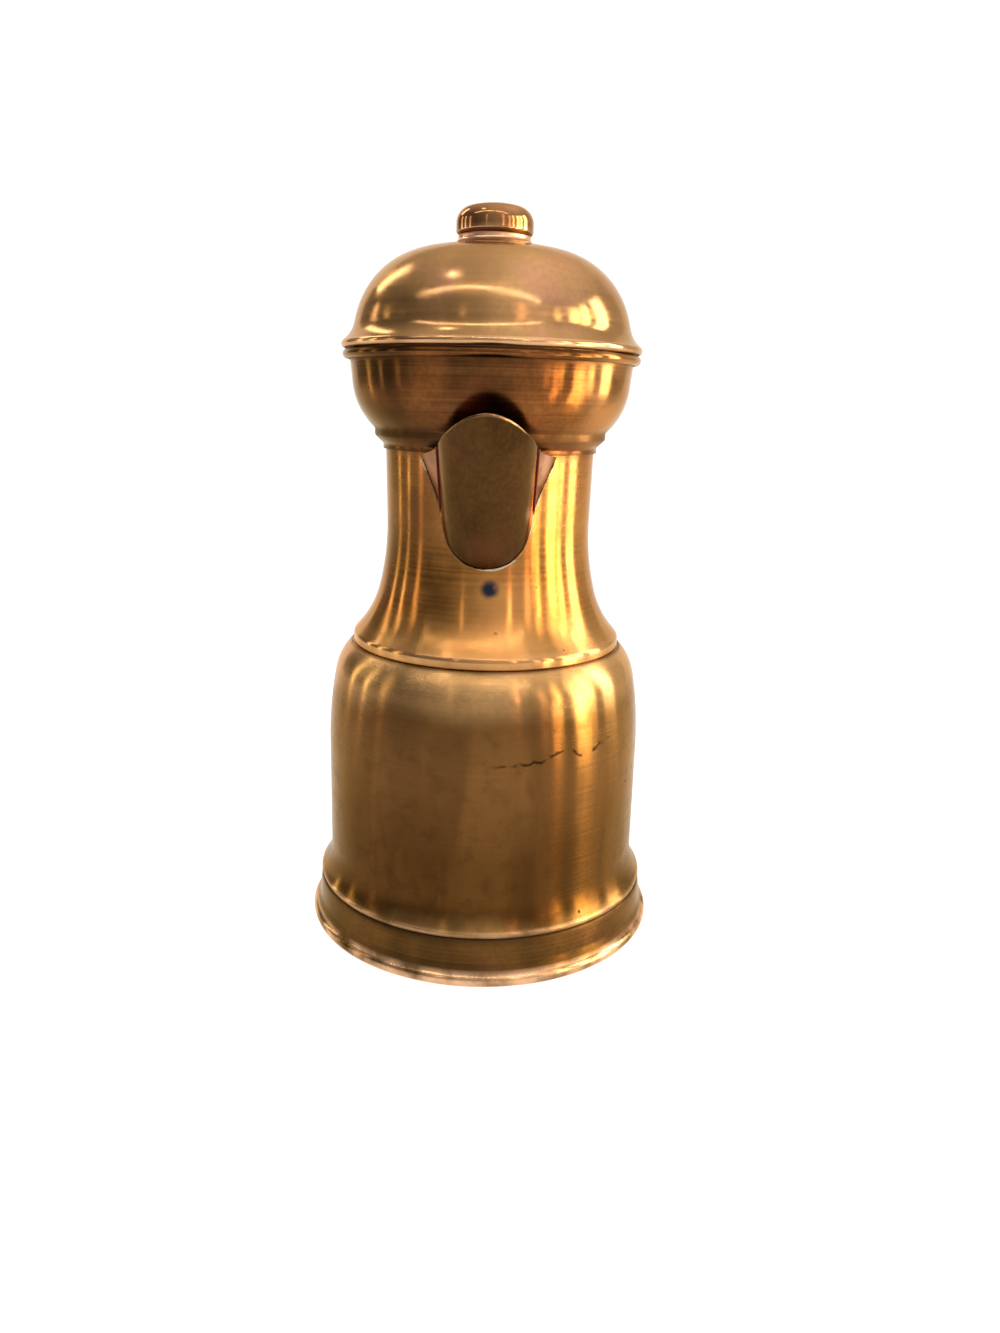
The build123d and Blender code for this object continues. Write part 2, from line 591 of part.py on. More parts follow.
def handle():
    run_top = STRAP_BOWL[0] + (STRAP_TOP_Z - STRAP_BOWL[1]) * tan(radians(STRAP_BOWL_DOWN))
    reach = PIN_Y + BRACKET_BACK + STRAP_TOP_RUN + STRAP_TOP_BEND
    knee = STRAP_WALL_Y + STRAP_KNEE_SHARE * (reach - STRAP_WALL_Y)
    body_run_z = STRAP_END_Z + STRAP_BODY_RUN
    route = [
        STRAP_BOWL,
        (run_top, STRAP_TOP_Z),
        (reach, STRAP_TOP_Z),
        (reach, STRAP_TOP_Z - STRAP_DROP),
        (knee, body_run_z + STRAP_KNEE_UP),
        (STRAP_WALL_Y, body_run_z),
        (STRAP_WALL_Y, STRAP_END_Z),
    ]
    first, *others = STRAP_OTHER_BENDS
    bends = (first, STRAP_TOP_BEND, *others)
    path = FilletPolyline(*((0, y, z) for y, z in route), radius=bends)
    start = Plane(origin=path @ 0, x_dir=(1, 0, 0), z_dir=path % 0)
    strap = sweep(start * RectangleRounded(STRAP_W, STRAP_T, STRAP_EDGE), path=path)
    strap -= round_end(facing(0, *STRAP_BOWL, BOWL_RUN_TURN - 180))
    strap -= round_end(facing(0, STRAP_WALL_Y, STRAP_END_Z, -90))
    strap -= envelope([*HEAD_WALL, BOWL_WALL_TOP], SOLDER_GAP)
    strap -= envelope(BODY_WALL, SOLDER_GAP)
    for hole in holes(bowl_rivets() + body_rivets() + bracket_rivets()):
        strap -= hole
    return strap


def hinge_bracket():
    """A bracket on top of the handle whose two lugs carry the pin."""
    foot_z = STRAP_TOP_Z + STRAP_T / 2
    lug_in = KNUCKLE_W / 2 + LUG_GAP
    front = PIN_Y - BRACKET_FRONT
    length = BRACKET_FRONT + BRACKET_BACK
    bracket = Pos(0, front + length / 2, foot_z + BRACKET_T / 2) * Box(BRACKET_W, length, BRACKET_T)
    foot = Line((front, foot_z), (PIN_Y + LUG_BACK, foot_z))
    top = Pos(PIN_Y, PIN_Z) * Circle(KNUCKLE_R)
    lug = extrude(Plane.YZ * make_hull([foot, *top.edges()]), amount=LUG_T)
    bracket += [Pos(lug_in, 0, 0) * lug, Pos(-lug_in - LUG_T, 0, 0) * lug]
    bracket -= Pos(0, PIN_Y, PIN_Z) * Rot(0, 90, 0) * Cylinder(PIN_R + PIN_FIT, 2 * BRACKET_W)
    for hole in holes(bracket_rivets()):
        bracket -= hole
    return bracket


def hinge_pin():
    half = KNUCKLE_W / 2 + LUG_GAP + LUG_T
    pin = Cylinder(PIN_R, 2 * half)
    for side in (-1, 1):
        head = Pos(0, 0, side * (half + PIN_HEAD_H / 2)) * Cylinder(PIN_HEAD_R, PIN_HEAD_H)
        rims = head.edges().filter_by(GeomType.CIRCLE).sort_by(Axis.Z)
        pin += fillet(rims[-1] if side > 0 else rims[0], PIN_HEAD_H / 2)
    return Pos(0, PIN_Y, PIN_Z) * Rot(0, 90, 0) * pin


def lid_leaf():
    """The hinge's leaf: a strap down the lid's shoulder and flare and over its edge to the knuckle."""
    centre, cove_r, _, cove_end = LID_COVE
    cove_r -= SOLDER_GAP
    bend_r = LEAF_T + LEAF_INNER_BEND
    leaves = 180 + degrees(asin((centre[1] - bend_r - LEAF_Z) / (cove_r - bend_r)))
    outline = [
        (PIN_Y, LEAF_Z),
        (polar(centre, cove_r - bend_r, leaves), bend_r, 270, leaves),
        (centre, cove_r, leaves, cove_end),
        (LID_SHOULDER, LID_SHOULDER_R + SOLDER_GAP, LID_LEAN, LID_LEAN + LEAF_TURN),
    ]
    back = [list(reversed(points)) for points in reversed(surface(outline, -LEAF_T))]
    section = Rot(0, 0, 90) * make_face(edges_along(surface(outline) + back))
    wide = extrude(section, amount=LEAF_W / 2, dir=(1, 0, 0), both=True)
    wide -= Pos(0, LID_R + LEAF_W, PIN_Z) * Box(2 * LEAF_W, 2 * LEAF_W, 2 * LEAF_W)
    narrow = extrude(section, amount=KNUCKLE_W / 2, dir=(1, 0, 0), both=True)
    leaf = wide + narrow + Pos(0, PIN_Y, PIN_Z) * Rot(0, 90, 0) * Cylinder(KNUCKLE_R, KNUCKLE_W)
    leaf -= Pos(0, PIN_Y, PIN_Z) * Rot(0, 90, 0) * Cylinder(PIN_R + PIN_PLAY, 2 * KNUCKLE_W)
    for hole in holes(leaf_rivets()):
        leaf -= hole
    return leaf


def riveted_lid_shell():
    shell = lid_shell()
    for hole in holes(leaf_rivets()):
        shell -= hole
    return shell


def riveted_head_bowl():
    bowl = head_bowl()
    for hole in holes(bowl_rivets()):
        bowl -= hole
    return bowl


def riveted_body_shell():
    body = body_shell()
    for hole in holes(body_rivets()):
        body -= hole
    return body


NODES = {
    "foot_band": foot_band,
    "foot_wire": foot_wire,
    "base_plate": base_plate,
    "body_shell": riveted_body_shell,
    "neck_shell": neck_shell,
    "head_bowl": riveted_head_bowl,
    "rim_wire": rim_wire,
    "spout": spout,
    "handle": handle,
    "handle_upper_rivets": lambda: rivets(bowl_rivets()),
    "handle_lower_rivets": lambda: rivets(body_rivets()),
    "hinge_bracket": hinge_bracket,
    "hinge_bracket_rivets": lambda: rivets(bracket_rivets()),
    "hinge_pin": hinge_pin,
    "lid_shell": riveted_lid_shell,
    "lid_wire": lid_wire,
    "lid_bezel": lid_bezel,
    "knob_collar": knob_collar,
    "knob_cap": knob_cap,
    "lid_leaf": lid_leaf,
    "lid_leaf_rivets": lambda: rivets(leaf_rivets()),
}

os.makedirs("parts", exist_ok=True)
for name, build in NODES.items():
    solid = build()
    export_step(solid, f"parts/{name}.step")
    print(name, round(solid.volume, 1))
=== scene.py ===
from collections import namedtuple
from math import acos, atan2, ceil, cos, degrees, exp, hypot, pi, radians, sin, sqrt, tan

import bmesh
import bpy
from mathutils import Matrix, Vector, noise


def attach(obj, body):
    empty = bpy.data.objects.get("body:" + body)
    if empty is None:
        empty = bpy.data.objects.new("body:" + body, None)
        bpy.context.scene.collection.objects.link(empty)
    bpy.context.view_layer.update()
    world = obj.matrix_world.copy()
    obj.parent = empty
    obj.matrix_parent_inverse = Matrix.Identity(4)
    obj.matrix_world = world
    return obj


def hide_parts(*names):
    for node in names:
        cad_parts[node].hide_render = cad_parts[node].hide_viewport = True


# The dressed pitcher: the spun copper pieces, the spout and its solder are made anew with fine, hand-worked
# surfaces, and the forged and riveted pieces keep their shape and get their finish. Shapes are reckoned in
# millimetres and degrees, and finishes, the camera and the lamps in metres, as Blender has them.
MM = 0.001
SPIN_STEPS = 224
KNOB_SPIN_STEPS = 128
ARC_STEP = 3.0  # degrees between the points of a round stretch
LEAST_ARC_STEPS = 3
LONGEST_STEP = 2.5
SAME_POINT = 1e-5
MERGE_WITHIN = 0.001 * MM
ON_AXIS = 0.0001 * MM
CREASE = 35.0

SHEET = 1.1
LID_SHEET = 0.9
KNOB_SHEET = 0.8
SPOUT_SHEET = 1.0
SOLDER_GAP = 0.05
CURL_SLIT = 1.0

FOOT_RIM_OUT = 4.4
FOOT_BEAD_R = 3.2
FOOT_FLAT = 0.15
FOOT_BEAD_TOP = 62.0
FOOT_CURL = 270.0
FOOT_H = 21.8
FOOT_STEP = 0.1
FOOT_WAIST_OUT = 1.3
FOOT_WAIST_Z = 11.0
FOOT_HOLLOW_R = 5.0
FOOT_CORNER_R = 1.5
SEAM_W = 9.7

BODY_R = 76.5
RIDGE_OUT = 5.2
RIDGE_ROLL = 1.75
FLARE_H = 17.0
WALL_H = 70.0
UPPER_WALL_R = 180.0
UPPER_WALL_TURN = 11.5
SHOULDER_R = 24.2
SEAT_ROUND = 1.6
BODY_COLLAR_IN = 3.6
BODY_COLLAR_H = 6.0

NECK_FOOT_R = 64.4
NECK_FOOT_ROUND = 3.5
NECK_FOOT_EDGE = 1.3
NECK_FOOT_H = 3.4
GROOVE_W = 1.2
NECK_R = 48.0
NECK_WAIST_H = 56.9
NECK_HOLLOW_R = 120.0
NECK_HOLLOW_TURN = 15.0
NECK_LEAN = 1.0
NECK_H = 96.9

SKIRT_LAP = 6.0
SKIRT_H = 2.2
COLLAR_IN = 1.2
COLLAR_DROP = 4.3
COLLAR_STEP = 1.6
COLLAR_ROUND = 1.6
BOWL_CURVE_R = 30.0
BOWL_DOWN = 45.5
BOWL_LEAN = 5.5
BOWL_WALL_H = 12.5
RIM_R = 68.0
RIM_H = 35.0
RIM_BEAD_R = 2.1

LID_GAP = 0.35
LID_OVERHANG = 0.4
LID_BEAD_R = 1.9
LID_WALL_IN = 5.6
LID_WALL_UP = 8.65
LID_WALL_H = 4.5
LID_LEAN = 14.5
LID_SHOULDER_R = 38.5
LID_CROWN_R = 150.0

KNOB_COLLAR_R = 16.2
KNOB_FLARE_R = 2.0
KNOB_FLARE_TURN = 80.0
KNOB_COLLAR_H = 1.4
KNOB_SEAM_W = 3.7
KNOB_OUT = 1.1
KNOB_EDGE_R = 1.9
KNOB_H = 16.5
KNOB_SHOULDER_R = 7.0
KNOB_CROWN_R = 45.0

SPOUT_FOOT_DOWN = 15.0
SPOUT_LEAN = 30.0
SPOUT_FRONT_R = 19.0
SPOUT_FOLD_R = 3.0
SPOUT_FOLD_X = 11.8
SPOUT_TAPER = 1.0 / 30.0
SPOUT_FLARE = 26.0
LIP_TIP_UP = 17.4
LIP_FOLD_BACK = 13.0
LIP_FOLD_DROP = 7.8
LIP_NECK_IN = 7.0
LIP_NECK_DROP = 0.4
FRONT_SHARE = 0.42  # of each half of the spout, from its middle out
FOLD_SHARE = 0.2
SPOUT_COLUMNS = 120
SPOUT_ROWS = 60
SPOUT_CREASE = 50.0
SPOUT_END_ROOM = 0.998  # of the way to its ends, where the spout stops short
SPOUT_RIPPLE = 0.25
SPOUT_RIPPLES = 7.0
SPOUT_DENT = 0.22
SPOUT_DENT_CELL = 9.0
LIP_WORN_FROM = 20.0  # above the spout's foot
HALVINGS = 40

SOLDER_POINTS = 150
SOLDER_R = 0.4
SOLDER_END_ROOM = 0.985
SOLDER_CELL = 3.1
SOLDER_BLOB_CELL = 8.0
SOLDER_OUT = 0.12
SOLDER_DOWN = 0.25
SOLDER_WANDER = 0.2
SOLDER_THINNEST = 0.35  # this and the next three in shares of its radius
SOLDER_USUAL = 0.8
SOLDER_ROUGH = 0.7
SOLDER_BLOB = 0.9
SOLDER_BLOB_SHIFT = (5, 1, 2)
SOLDER_CREASE = 70.0

POUR_WINDOW_W = 20.0
POUR_WINDOW_UP = 11.0
POUR_WINDOW_H = 32.0
POUR_ARCH_STEPS = 20


def polar(centre, radius, angle):
    """The point at an angle in degrees on a circle in the plane of a section."""
    return centre[0] + radius * cos(radians(angle)), centre[1] + radius * sin(radians(angle))


def cove(edge, roll, end, lean):
    """The hollow stretch from a round edge up to the foot of a wall."""
    away = end[0] - edge[0], end[1] - edge[1]
    along = away[0] * cos(radians(lean)) + away[1] * sin(radians(lean))
    radius = (away[0] ** 2 + away[1] ** 2 - roll**2) / (2 * (roll - along))
    centre = polar(end, radius, lean)
    return centre, radius, 180 + degrees(atan2(centre[1] - edge[1], centre[0] - edge[0])), 180 + lean


def crown_meets(shoulder, shoulder_r, crown_r):
    """The height of a crown's centre, and the angle where the crown touches its shoulder."""
    down = sqrt((crown_r - shoulder_r) ** 2 - shoulder[0] ** 2)
    return shoulder[1] - down, degrees(atan2(down, shoulder[0]))


def bend(before, corner, after, radius):
    """The round stretch that turns a corner of a section."""
    into = atan2(corner[1] - before[1], corner[0] - before[0])
    out = atan2(after[1] - corner[1], after[0] - corner[0])
    turn = (degrees(out - into) + 180) % 360 - 180
    back = radius * tan(radians(abs(turn)) / 2)
    side = 1 if turn > 0 else -1
    start = corner[0] - back * cos(into), corner[1] - back * sin(into)
    centre = start[0] - side * radius * sin(into), start[1] + side * radius * cos(into)
    first = degrees(into) - side * 90
    return centre, radius, first, first + turn


RIDGE_R = BODY_R + RIDGE_OUT
RIDGE = (RIDGE_R - RIDGE_ROLL, FOOT_H + RIDGE_ROLL)
FLARE = cove(RIDGE, RIDGE_ROLL, (BODY_R, FOOT_H + FLARE_H), 0)
UPPER_WALL = (BODY_R - UPPER_WALL_R, FOOT_H + WALL_H)
SHOULDER = polar(UPPER_WALL, UPPER_WALL_R - SHOULDER_R, UPPER_WALL_TURN)
SHOULDER_END = degrees(acos((NECK_FOOT_R + GROOVE_W - SHOULDER[0]) / SHOULDER_R))
SHOULDER_EDGE = polar(SHOULDER, SHOULDER_R, SHOULDER_END)
SEAT = polar(SHOULDER_EDGE, SEAT_ROUND * tan(radians(90 - SHOULDER_END) / 2), SHOULDER_END + 90)
SEAT_Z = SEAT[1]
SEAM_IN_R = RIDGE_R - SEAM_W
FOOT_BEAD = (RIDGE_R + FOOT_RIM_OUT - FOOT_BEAD_R, FOOT_BEAD_R - FOOT_FLAT)
BODY_COLLAR_R = NECK_FOOT_R - BODY_COLLAR_IN

NECK_FOOT = (NECK_FOOT_R - NECK_FOOT_ROUND, SEAT_Z + NECK_FOOT_H)
NECK_HOLLOW = (NECK_R + NECK_HOLLOW_R, SEAT_Z + NECK_WAIST_H)
NECK_HOLLOW_FOOT = polar(NECK_HOLLOW, NECK_HOLLOW_R, 180 + NECK_HOLLOW_TURN)
NECK_FLARE = cove(NECK_FOOT, NECK_FOOT_ROUND, NECK_HOLLOW_FOOT, NECK_HOLLOW_TURN)
NECK_WALL_START = polar(NECK_HOLLOW, NECK_HOLLOW_R, 180 - NECK_LEAN)
NECK_TOP_Z = SEAT_Z + NECK_H
NECK_TOP = (NECK_WALL_START[0] + (NECK_TOP_Z - NECK_WALL_START[1]) * tan(radians(NECK_LEAN)), NECK_TOP_Z)

SKIRT_R = NECK_TOP[0] + SOLDER_GAP + SHEET
SKIRT_FOOT = (SKIRT_R, NECK_TOP_Z - SKIRT_LAP)
SKIRT_TOP = (SKIRT_R, SKIRT_FOOT[1] + SKIRT_H)
RIM_Z = NECK_TOP_Z + RIM_H
RIM_BEAD = (RIM_R - RIM_BEAD_R, RIM_Z)
BOWL_WALL_TOP = polar(RIM_BEAD, RIM_BEAD_R - SHEET, 180 - BOWL_LEAN)
BOWL_WALL_FOOT = polar(BOWL_WALL_TOP, BOWL_WALL_H, -90 - BOWL_LEAN)
BOWL = polar(BOWL_WALL_FOOT, BOWL_CURVE_R, 180 - BOWL_LEAN)
BOWL_START = polar(BOWL, BOWL_CURVE_R, -BOWL_DOWN)
COLLAR_TOP = polar(BOWL_START, COLLAR_STEP, -BOWL_DOWN - 90)
COLLAR = (BOWL_START[0] - COLLAR_IN, BOWL_START[1] - COLLAR_DROP)

LID_R = RIM_R + LID_OVERHANG
LID_BEAD = (LID_R - LID_BEAD_R, RIM_Z + RIM_BEAD_R + LID_GAP + LID_BEAD_R)
LID_WALL_FOOT = (LID_R - LID_WALL_IN, LID_BEAD[1] + LID_WALL_UP)
LID_COVE = cove(LID_BEAD, LID_BEAD_R, LID_WALL_FOOT, LID_LEAN)
LID_SHOULDER = polar(polar(LID_WALL_FOOT, LID_WALL_H, 90 + LID_LEAN), LID_SHOULDER_R, 180 + LID_LEAN)
LID_CROWN_Z, LID_CROWN_MEETS = crown_meets(LID_SHOULDER, LID_SHOULDER_R, LID_CROWN_R)
LID_TOP_Z = LID_CROWN_Z + LID_CROWN_R

KNOB_FLARE_FOOT_R = KNOB_COLLAR_R + KNOB_FLARE_R * (1 - cos(radians(KNOB_FLARE_TURN)))
KNOB_FOOT_IN_R = KNOB_FLARE_FOOT_R - KNOB_SHEET * cos(radians(KNOB_FLARE_TURN))
KNOB_FOOT_Z = LID_CROWN_Z + sqrt(LID_CROWN_R**2 - KNOB_FOOT_IN_R**2) + SOLDER_GAP
KNOB_FLARE_Z = KNOB_FOOT_Z + (KNOB_FLARE_R + KNOB_SHEET) * sin(radians(KNOB_FLARE_TURN))
KNOB_SEAM = (KNOB_COLLAR_R - KNOB_SEAM_W, KNOB_FLARE_Z + KNOB_COLLAR_H)

SPOUT_FOOT_Z = NECK_HOLLOW[1] - SPOUT_FOOT_DOWN
SPOUT_FOOT_Y = sqrt(NECK_HOLLOW_R**2 - SPOUT_FOOT_DOWN**2) - NECK_HOLLOW[0]

# Rings where dirt and old polish stay: (radius, height, how far they reach)
CREVICES = [
    (RIDGE_R, FOOT_H, 1.6),
    (FOOT_BEAD[0] - 1.0, FOOT_BEAD[1] + FOOT_BEAD_R + 0.6, 2.0),
    (NECK_FOOT_R + 0.9, SEAT_Z + 0.2, 0.8),
    (SKIRT_R - 0.6, SKIRT_FOOT[1], 1.3),
    (COLLAR[0], COLLAR[1] + 1.0, 5.0),
    (RIM_R - 0.8, RIM_Z + RIM_BEAD_R, 1.1),
    (RIM_R - 2.4, RIM_Z - RIM_BEAD_R - 0.3, 1.5),
    (KNOB_FLARE_FOOT_R, KNOB_FOOT_Z, 1.6),
    (KNOB_COLLAR_R + 0.6, KNOB_SEAM[1], 1.0),
]

# Outward bends of these radii are rubbed bare, which is also a painted highlight: the smaller ones lie back
# from the hand and stay dark
LEAST_WORN_AND_HIGHLIT_R = 1.7
WORN_AND_HIGHLIT_R = 3.8
WORN_AND_HIGHLIT_FADE = 0.6


def round_stretch(stretch, aside):
    """The points of a round stretch moved aside to its left, each with its share of rubbed wear and painted
    highlight.
    """
    centre, radius, start, end = stretch
    outward = end > start
    radius += -aside if outward else aside
    worn_and_highlit = 0.0
    if outward and radius > LEAST_WORN_AND_HIGHLIT_R:
        worn_and_highlit = min(1.0, max(0.0, (WORN_AND_HIGHLIT_R - radius) / WORN_AND_HIGHLIT_FADE))
    length = abs(radians(end - start)) * radius
    steps = max(LEAST_ARC_STEPS, ceil(abs(end - start) / ARC_STEP), ceil(length / LONGEST_STEP))
    points = []
    for step in range(steps + 1):
        points.append((*polar(centre, radius, start + (end - start) * step / steps), worn_and_highlit))
    return points


def straight_end(stretches, number, aside):
    """The first or last point of a section, moved aside from the straight run that it ends."""
    here = stretches[number]
    other = stretches[1] if number == 0 else stretches[-2]
    if len(other) == 4:
        other = polar(other[0], other[1], other[2] if number == 0 else other[3])
    way = 1 if number == 0 else -1
    along = way * (other[0] - here[0]), way * (other[1] - here[1])
    length = hypot(*along)
    return here[0] - aside * along[1] / length, here[1] + aside * along[0] / length, 0.0


def trace(stretches, aside=0.0):
    """The points along one surface of a section, moved aside to its left, each with its share of rubbed wear
    and painted highlight.
    """
    points = []
    for number, stretch in enumerate(stretches):
        if len(stretch) == 4:
            points += round_stretch(stretch, aside)
        else:
            points.append(straight_end(stretches, number, aside))
    spaced = points[:1]
    for r, z, worn_and_highlit in points[1:]:
        last_r, last_z, _ = spaced[-1]
        gap = hypot(r - last_r, z - last_z)
        if gap < SAME_POINT:
            continue
        steps = ceil(gap / LONGEST_STEP)
        for step in range(1, steps + 1):
            part = step / steps
            wear_and_highlight = worn_and_highlit if step == steps else 0.0
            spaced.append((last_r + (r - last_r) * part, last_z + (z - last_z) * part, wear_and_highlight))
    return spaced


def sheet_section(stretches, thickness):
    """The closed section of a spun sheet: its outer surface, then its inner one back to the start."""
    return trace(stretches) + [(r, z, 0.0) for r, z, _ in reversed(trace(stretches, thickness))]


def dirt(r, z):
    """How dirty a point is: 1 in the middle of a crevice, fading round it."""
    return max(exp(-((r - ring_r) ** 2 + (z - ring_z) ** 2) / reach**2) for ring_r, ring_z, reach in CREVICES)


def hand_worked(bm, depth, cell, seed):
    """Lets a spun wall wander a little, always inwards, as hammering and use leave it.

    The hollows are taller than wide, and the very middle of a piece stays as it is.
    """
    squeeze = 0.7
    still_middle = 0.2
    for vert in bm.verts:
        r = hypot(vert.co.x, vert.co.y)
        if r > cell * MM * still_middle:
            place = Vector((vert.co.x, vert.co.y, vert.co.z * squeeze)) / (cell * MM)
            push = depth * MM * (0.5 + 0.5 * noise.noise(place + Vector((seed, seed, seed))))
            vert.co.x -= push * vert.co.x / r
            vert.co.y -= push * vert.co.y / r


def finish_mesh(bm, name, body, crease=CREASE):
    """Makes a piece of a bmesh: smooth faces, sharp edges where it turns by more than the crease."""
    mesh = bpy.data.meshes.new(name)
    for face in bm.faces:
        face.smooth = True
    bm.to_mesh(mesh)
    bm.free()
    mesh.set_sharp_from_angle(angle=radians(crease))
    piece = bpy.data.objects.new(name, mesh)
    bpy.context.scene.collection.objects.link(piece)
    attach(piece, body)
    return piece


def spun_piece(name, body, stretches, thickness, depth, cell, seed, lined=None, steps=SPIN_STEPS):
    """A piece of spun sheet, with its share of rubbed wear and painted highlight and how dirty it is kept at
    each point.

    Hand work goes to the depth, in cells of that size, and the seed sets where. Where lined is true of a
    face's middle and the way it faces (above 0 is outwards), the face takes the piece's second material.
    """
    bm = bmesh.new()
    worn_and_highlit = bm.verts.layers.float.new("worn_and_highlit")
    dirty = bm.verts.layers.float.new("dirty")
    verts = []
    for r, z, wear_and_highlight in sheet_section(stretches, thickness):
        vert = bm.verts.new((r * MM, 0.0, z * MM))
        vert[worn_and_highlit] = wear_and_highlight
        vert[dirty] = dirt(r, z)
        verts.append(vert)
    edges = []
    for vert, after in zip(verts, verts[1:] + verts[:1]):
        if max(vert.co.x, after.co.x) > ON_AXIS:
            edges.append(bm.edges.new((vert, after)))
    bmesh.ops.spin(
        bm, geom=verts + edges, cent=(0, 0, 0), axis=(0, 0, 1), angle=2 * pi, steps=steps, use_merge=True
    )
    bmesh.ops.remove_doubles(bm, verts=bm.verts, dist=MERGE_WITHIN)
    bmesh.ops.recalc_face_normals(bm, faces=bm.faces)
    for vert in bm.verts:
        vert.co.z = max(vert.co.z, 0.0)
    if lined:
        for face in bm.faces:
            centre = face.calc_center_median()
            outward = Vector((centre.x, centre.y, 0.0)).dot(face.normal)
            face.material_index = 1 if lined(centre / MM, outward) else 0
    hand_worked(bm, depth, cell, seed)
    return finish_mesh(bm, name, body)


# A section is the outer side of a sheet, from its foot up: round stretches of (centre, radius, first angle,
# last angle) with straight runs between them, and where it ends in a straight run, the point at its end.


def foot_section():
    top = polar(FOOT_BEAD, FOOT_BEAD_R, FOOT_BEAD_TOP)
    corner = (RIDGE_R - FOOT_STEP, FOOT_H)
    waist = (corner[0] + FOOT_WAIST_OUT, FOOT_WAIST_Z)
    slit = degrees(CURL_SLIT / FOOT_BEAD_R)
    return [
        (FOOT_BEAD, FOOT_BEAD_R, FOOT_BEAD_TOP - FOOT_CURL + slit, FOOT_BEAD_TOP),
        bend(top, waist, corner, FOOT_HOLLOW_R),
        bend(waist, corner, (SEAM_IN_R, FOOT_H), FOOT_CORNER_R),
        (SEAM_IN_R, FOOT_H),
    ]


def body_section():
    collar_foot = (BODY_COLLAR_R, SEAT_Z)
    collar_top = (BODY_COLLAR_R, SEAT_Z + BODY_COLLAR_H)
    return [
        (SEAM_IN_R, FOOT_H),
        (RIDGE, RIDGE_ROLL, -90, FLARE[2] - 180),
        FLARE,
        (UPPER_WALL, UPPER_WALL_R, 0, UPPER_WALL_TURN),
        (SHOULDER, SHOULDER_R, UPPER_WALL_TURN, SHOULDER_END),
        bend(SHOULDER_EDGE, SEAT, collar_foot, SEAT_ROUND),
        bend(SEAT, collar_foot, collar_top, SHEET),
        collar_top,
    ]


def neck_section():
    inner_edge = (BODY_COLLAR_R + SHEET, SEAT_Z)
    foot_edge = (NECK_FOOT_R, SEAT_Z)
    above = (NECK_FOOT_R, NECK_FOOT[1])
    return [
        inner_edge,
        bend(inner_edge, foot_edge, above, NECK_FOOT_EDGE),
        (NECK_FOOT, NECK_FOOT_ROUND, 0, NECK_FLARE[2] - 180),
        NECK_FLARE,
        (NECK_HOLLOW, NECK_HOLLOW_R, 180 + NECK_HOLLOW_TURN, 180 - NECK_LEAN),
        NECK_TOP,
    ]


def head_section():
    curl_end = -90 - degrees(CURL_SLIT / RIM_BEAD_R) / 2
    return [
        SKIRT_FOOT,
        bend(SKIRT_FOOT, SKIRT_TOP, COLLAR, COLLAR_ROUND),
        bend(SKIRT_TOP, COLLAR, COLLAR_TOP, COLLAR_ROUND),
        bend(COLLAR, COLLAR_TOP, BOWL_START, COLLAR_ROUND),
        (BOWL, BOWL_CURVE_R, -BOWL_DOWN, -BOWL_LEAN),
        (RIM_BEAD, RIM_BEAD_R - SHEET, 180 - BOWL_LEAN, curl_end),
    ]


def lid_section():
    return [
        (LID_BEAD, LID_BEAD_R, -180, LID_COVE[2] - 180),
        LID_COVE,
        (LID_SHOULDER, LID_SHOULDER_R, LID_LEAN, LID_CROWN_MEETS),
        ((0.0, LID_CROWN_Z), LID_CROWN_R, LID_CROWN_MEETS, 90),
    ]


def knob_collar_section():
    flare = (KNOB_COLLAR_R + KNOB_FLARE_R, KNOB_FLARE_Z)
    wall_foot = (KNOB_COLLAR_R, KNOB_FLARE_Z)
    corner = (KNOB_COLLAR_R, KNOB_SEAM[1])
    return [
        (flare, KNOB_FLARE_R, 180 + KNOB_FLARE_TURN, 180),
        bend(wall_foot, corner, KNOB_SEAM, KNOB_SHEET + SOLDER_GAP),
        KNOB_SEAM,
    ]


def knob_cap_section():
    cap_r = KNOB_COLLAR_R + KNOB_OUT
    inset = cap_r - KNOB_SHOULDER_R
    down = KNOB_CROWN_R - sqrt((KNOB_CROWN_R - KNOB_SHOULDER_R) ** 2 - inset**2)
    shoulder = (inset, LID_TOP_Z + KNOB_H - down)
    crown_z, meets = crown_meets(shoulder, KNOB_SHOULDER_R, KNOB_CROWN_R)
    corner = (cap_r, KNOB_SEAM[1])
    return [
        KNOB_SEAM,
        bend(KNOB_SEAM, corner, (cap_r, shoulder[1]), KNOB_EDGE_R),
        (shoulder, KNOB_SHOULDER_R, 0, meets),
        ((0.0, crown_z), KNOB_CROWN_R, meets, 90),
    ]


def neck_radius(height):
    """The neck's outer radius at a height."""
    if height > NECK_WALL_START[1]:
        return NECK_WALL_START[0] + (height - NECK_WALL_START[1]) * tan(radians(NECK_LEAN))
    return NECK_HOLLOW[0] - sqrt(NECK_HOLLOW_R**2 - (height - NECK_HOLLOW[1]) ** 2)


def shape_of(owner):
    """The mesh that an object shows once its modifiers or its bevel have worked."""
    bpy.context.view_layer.update()
    return bpy.data.meshes.new_from_object(owner.evaluated_get(bpy.context.evaluated_depsgraph_get()))


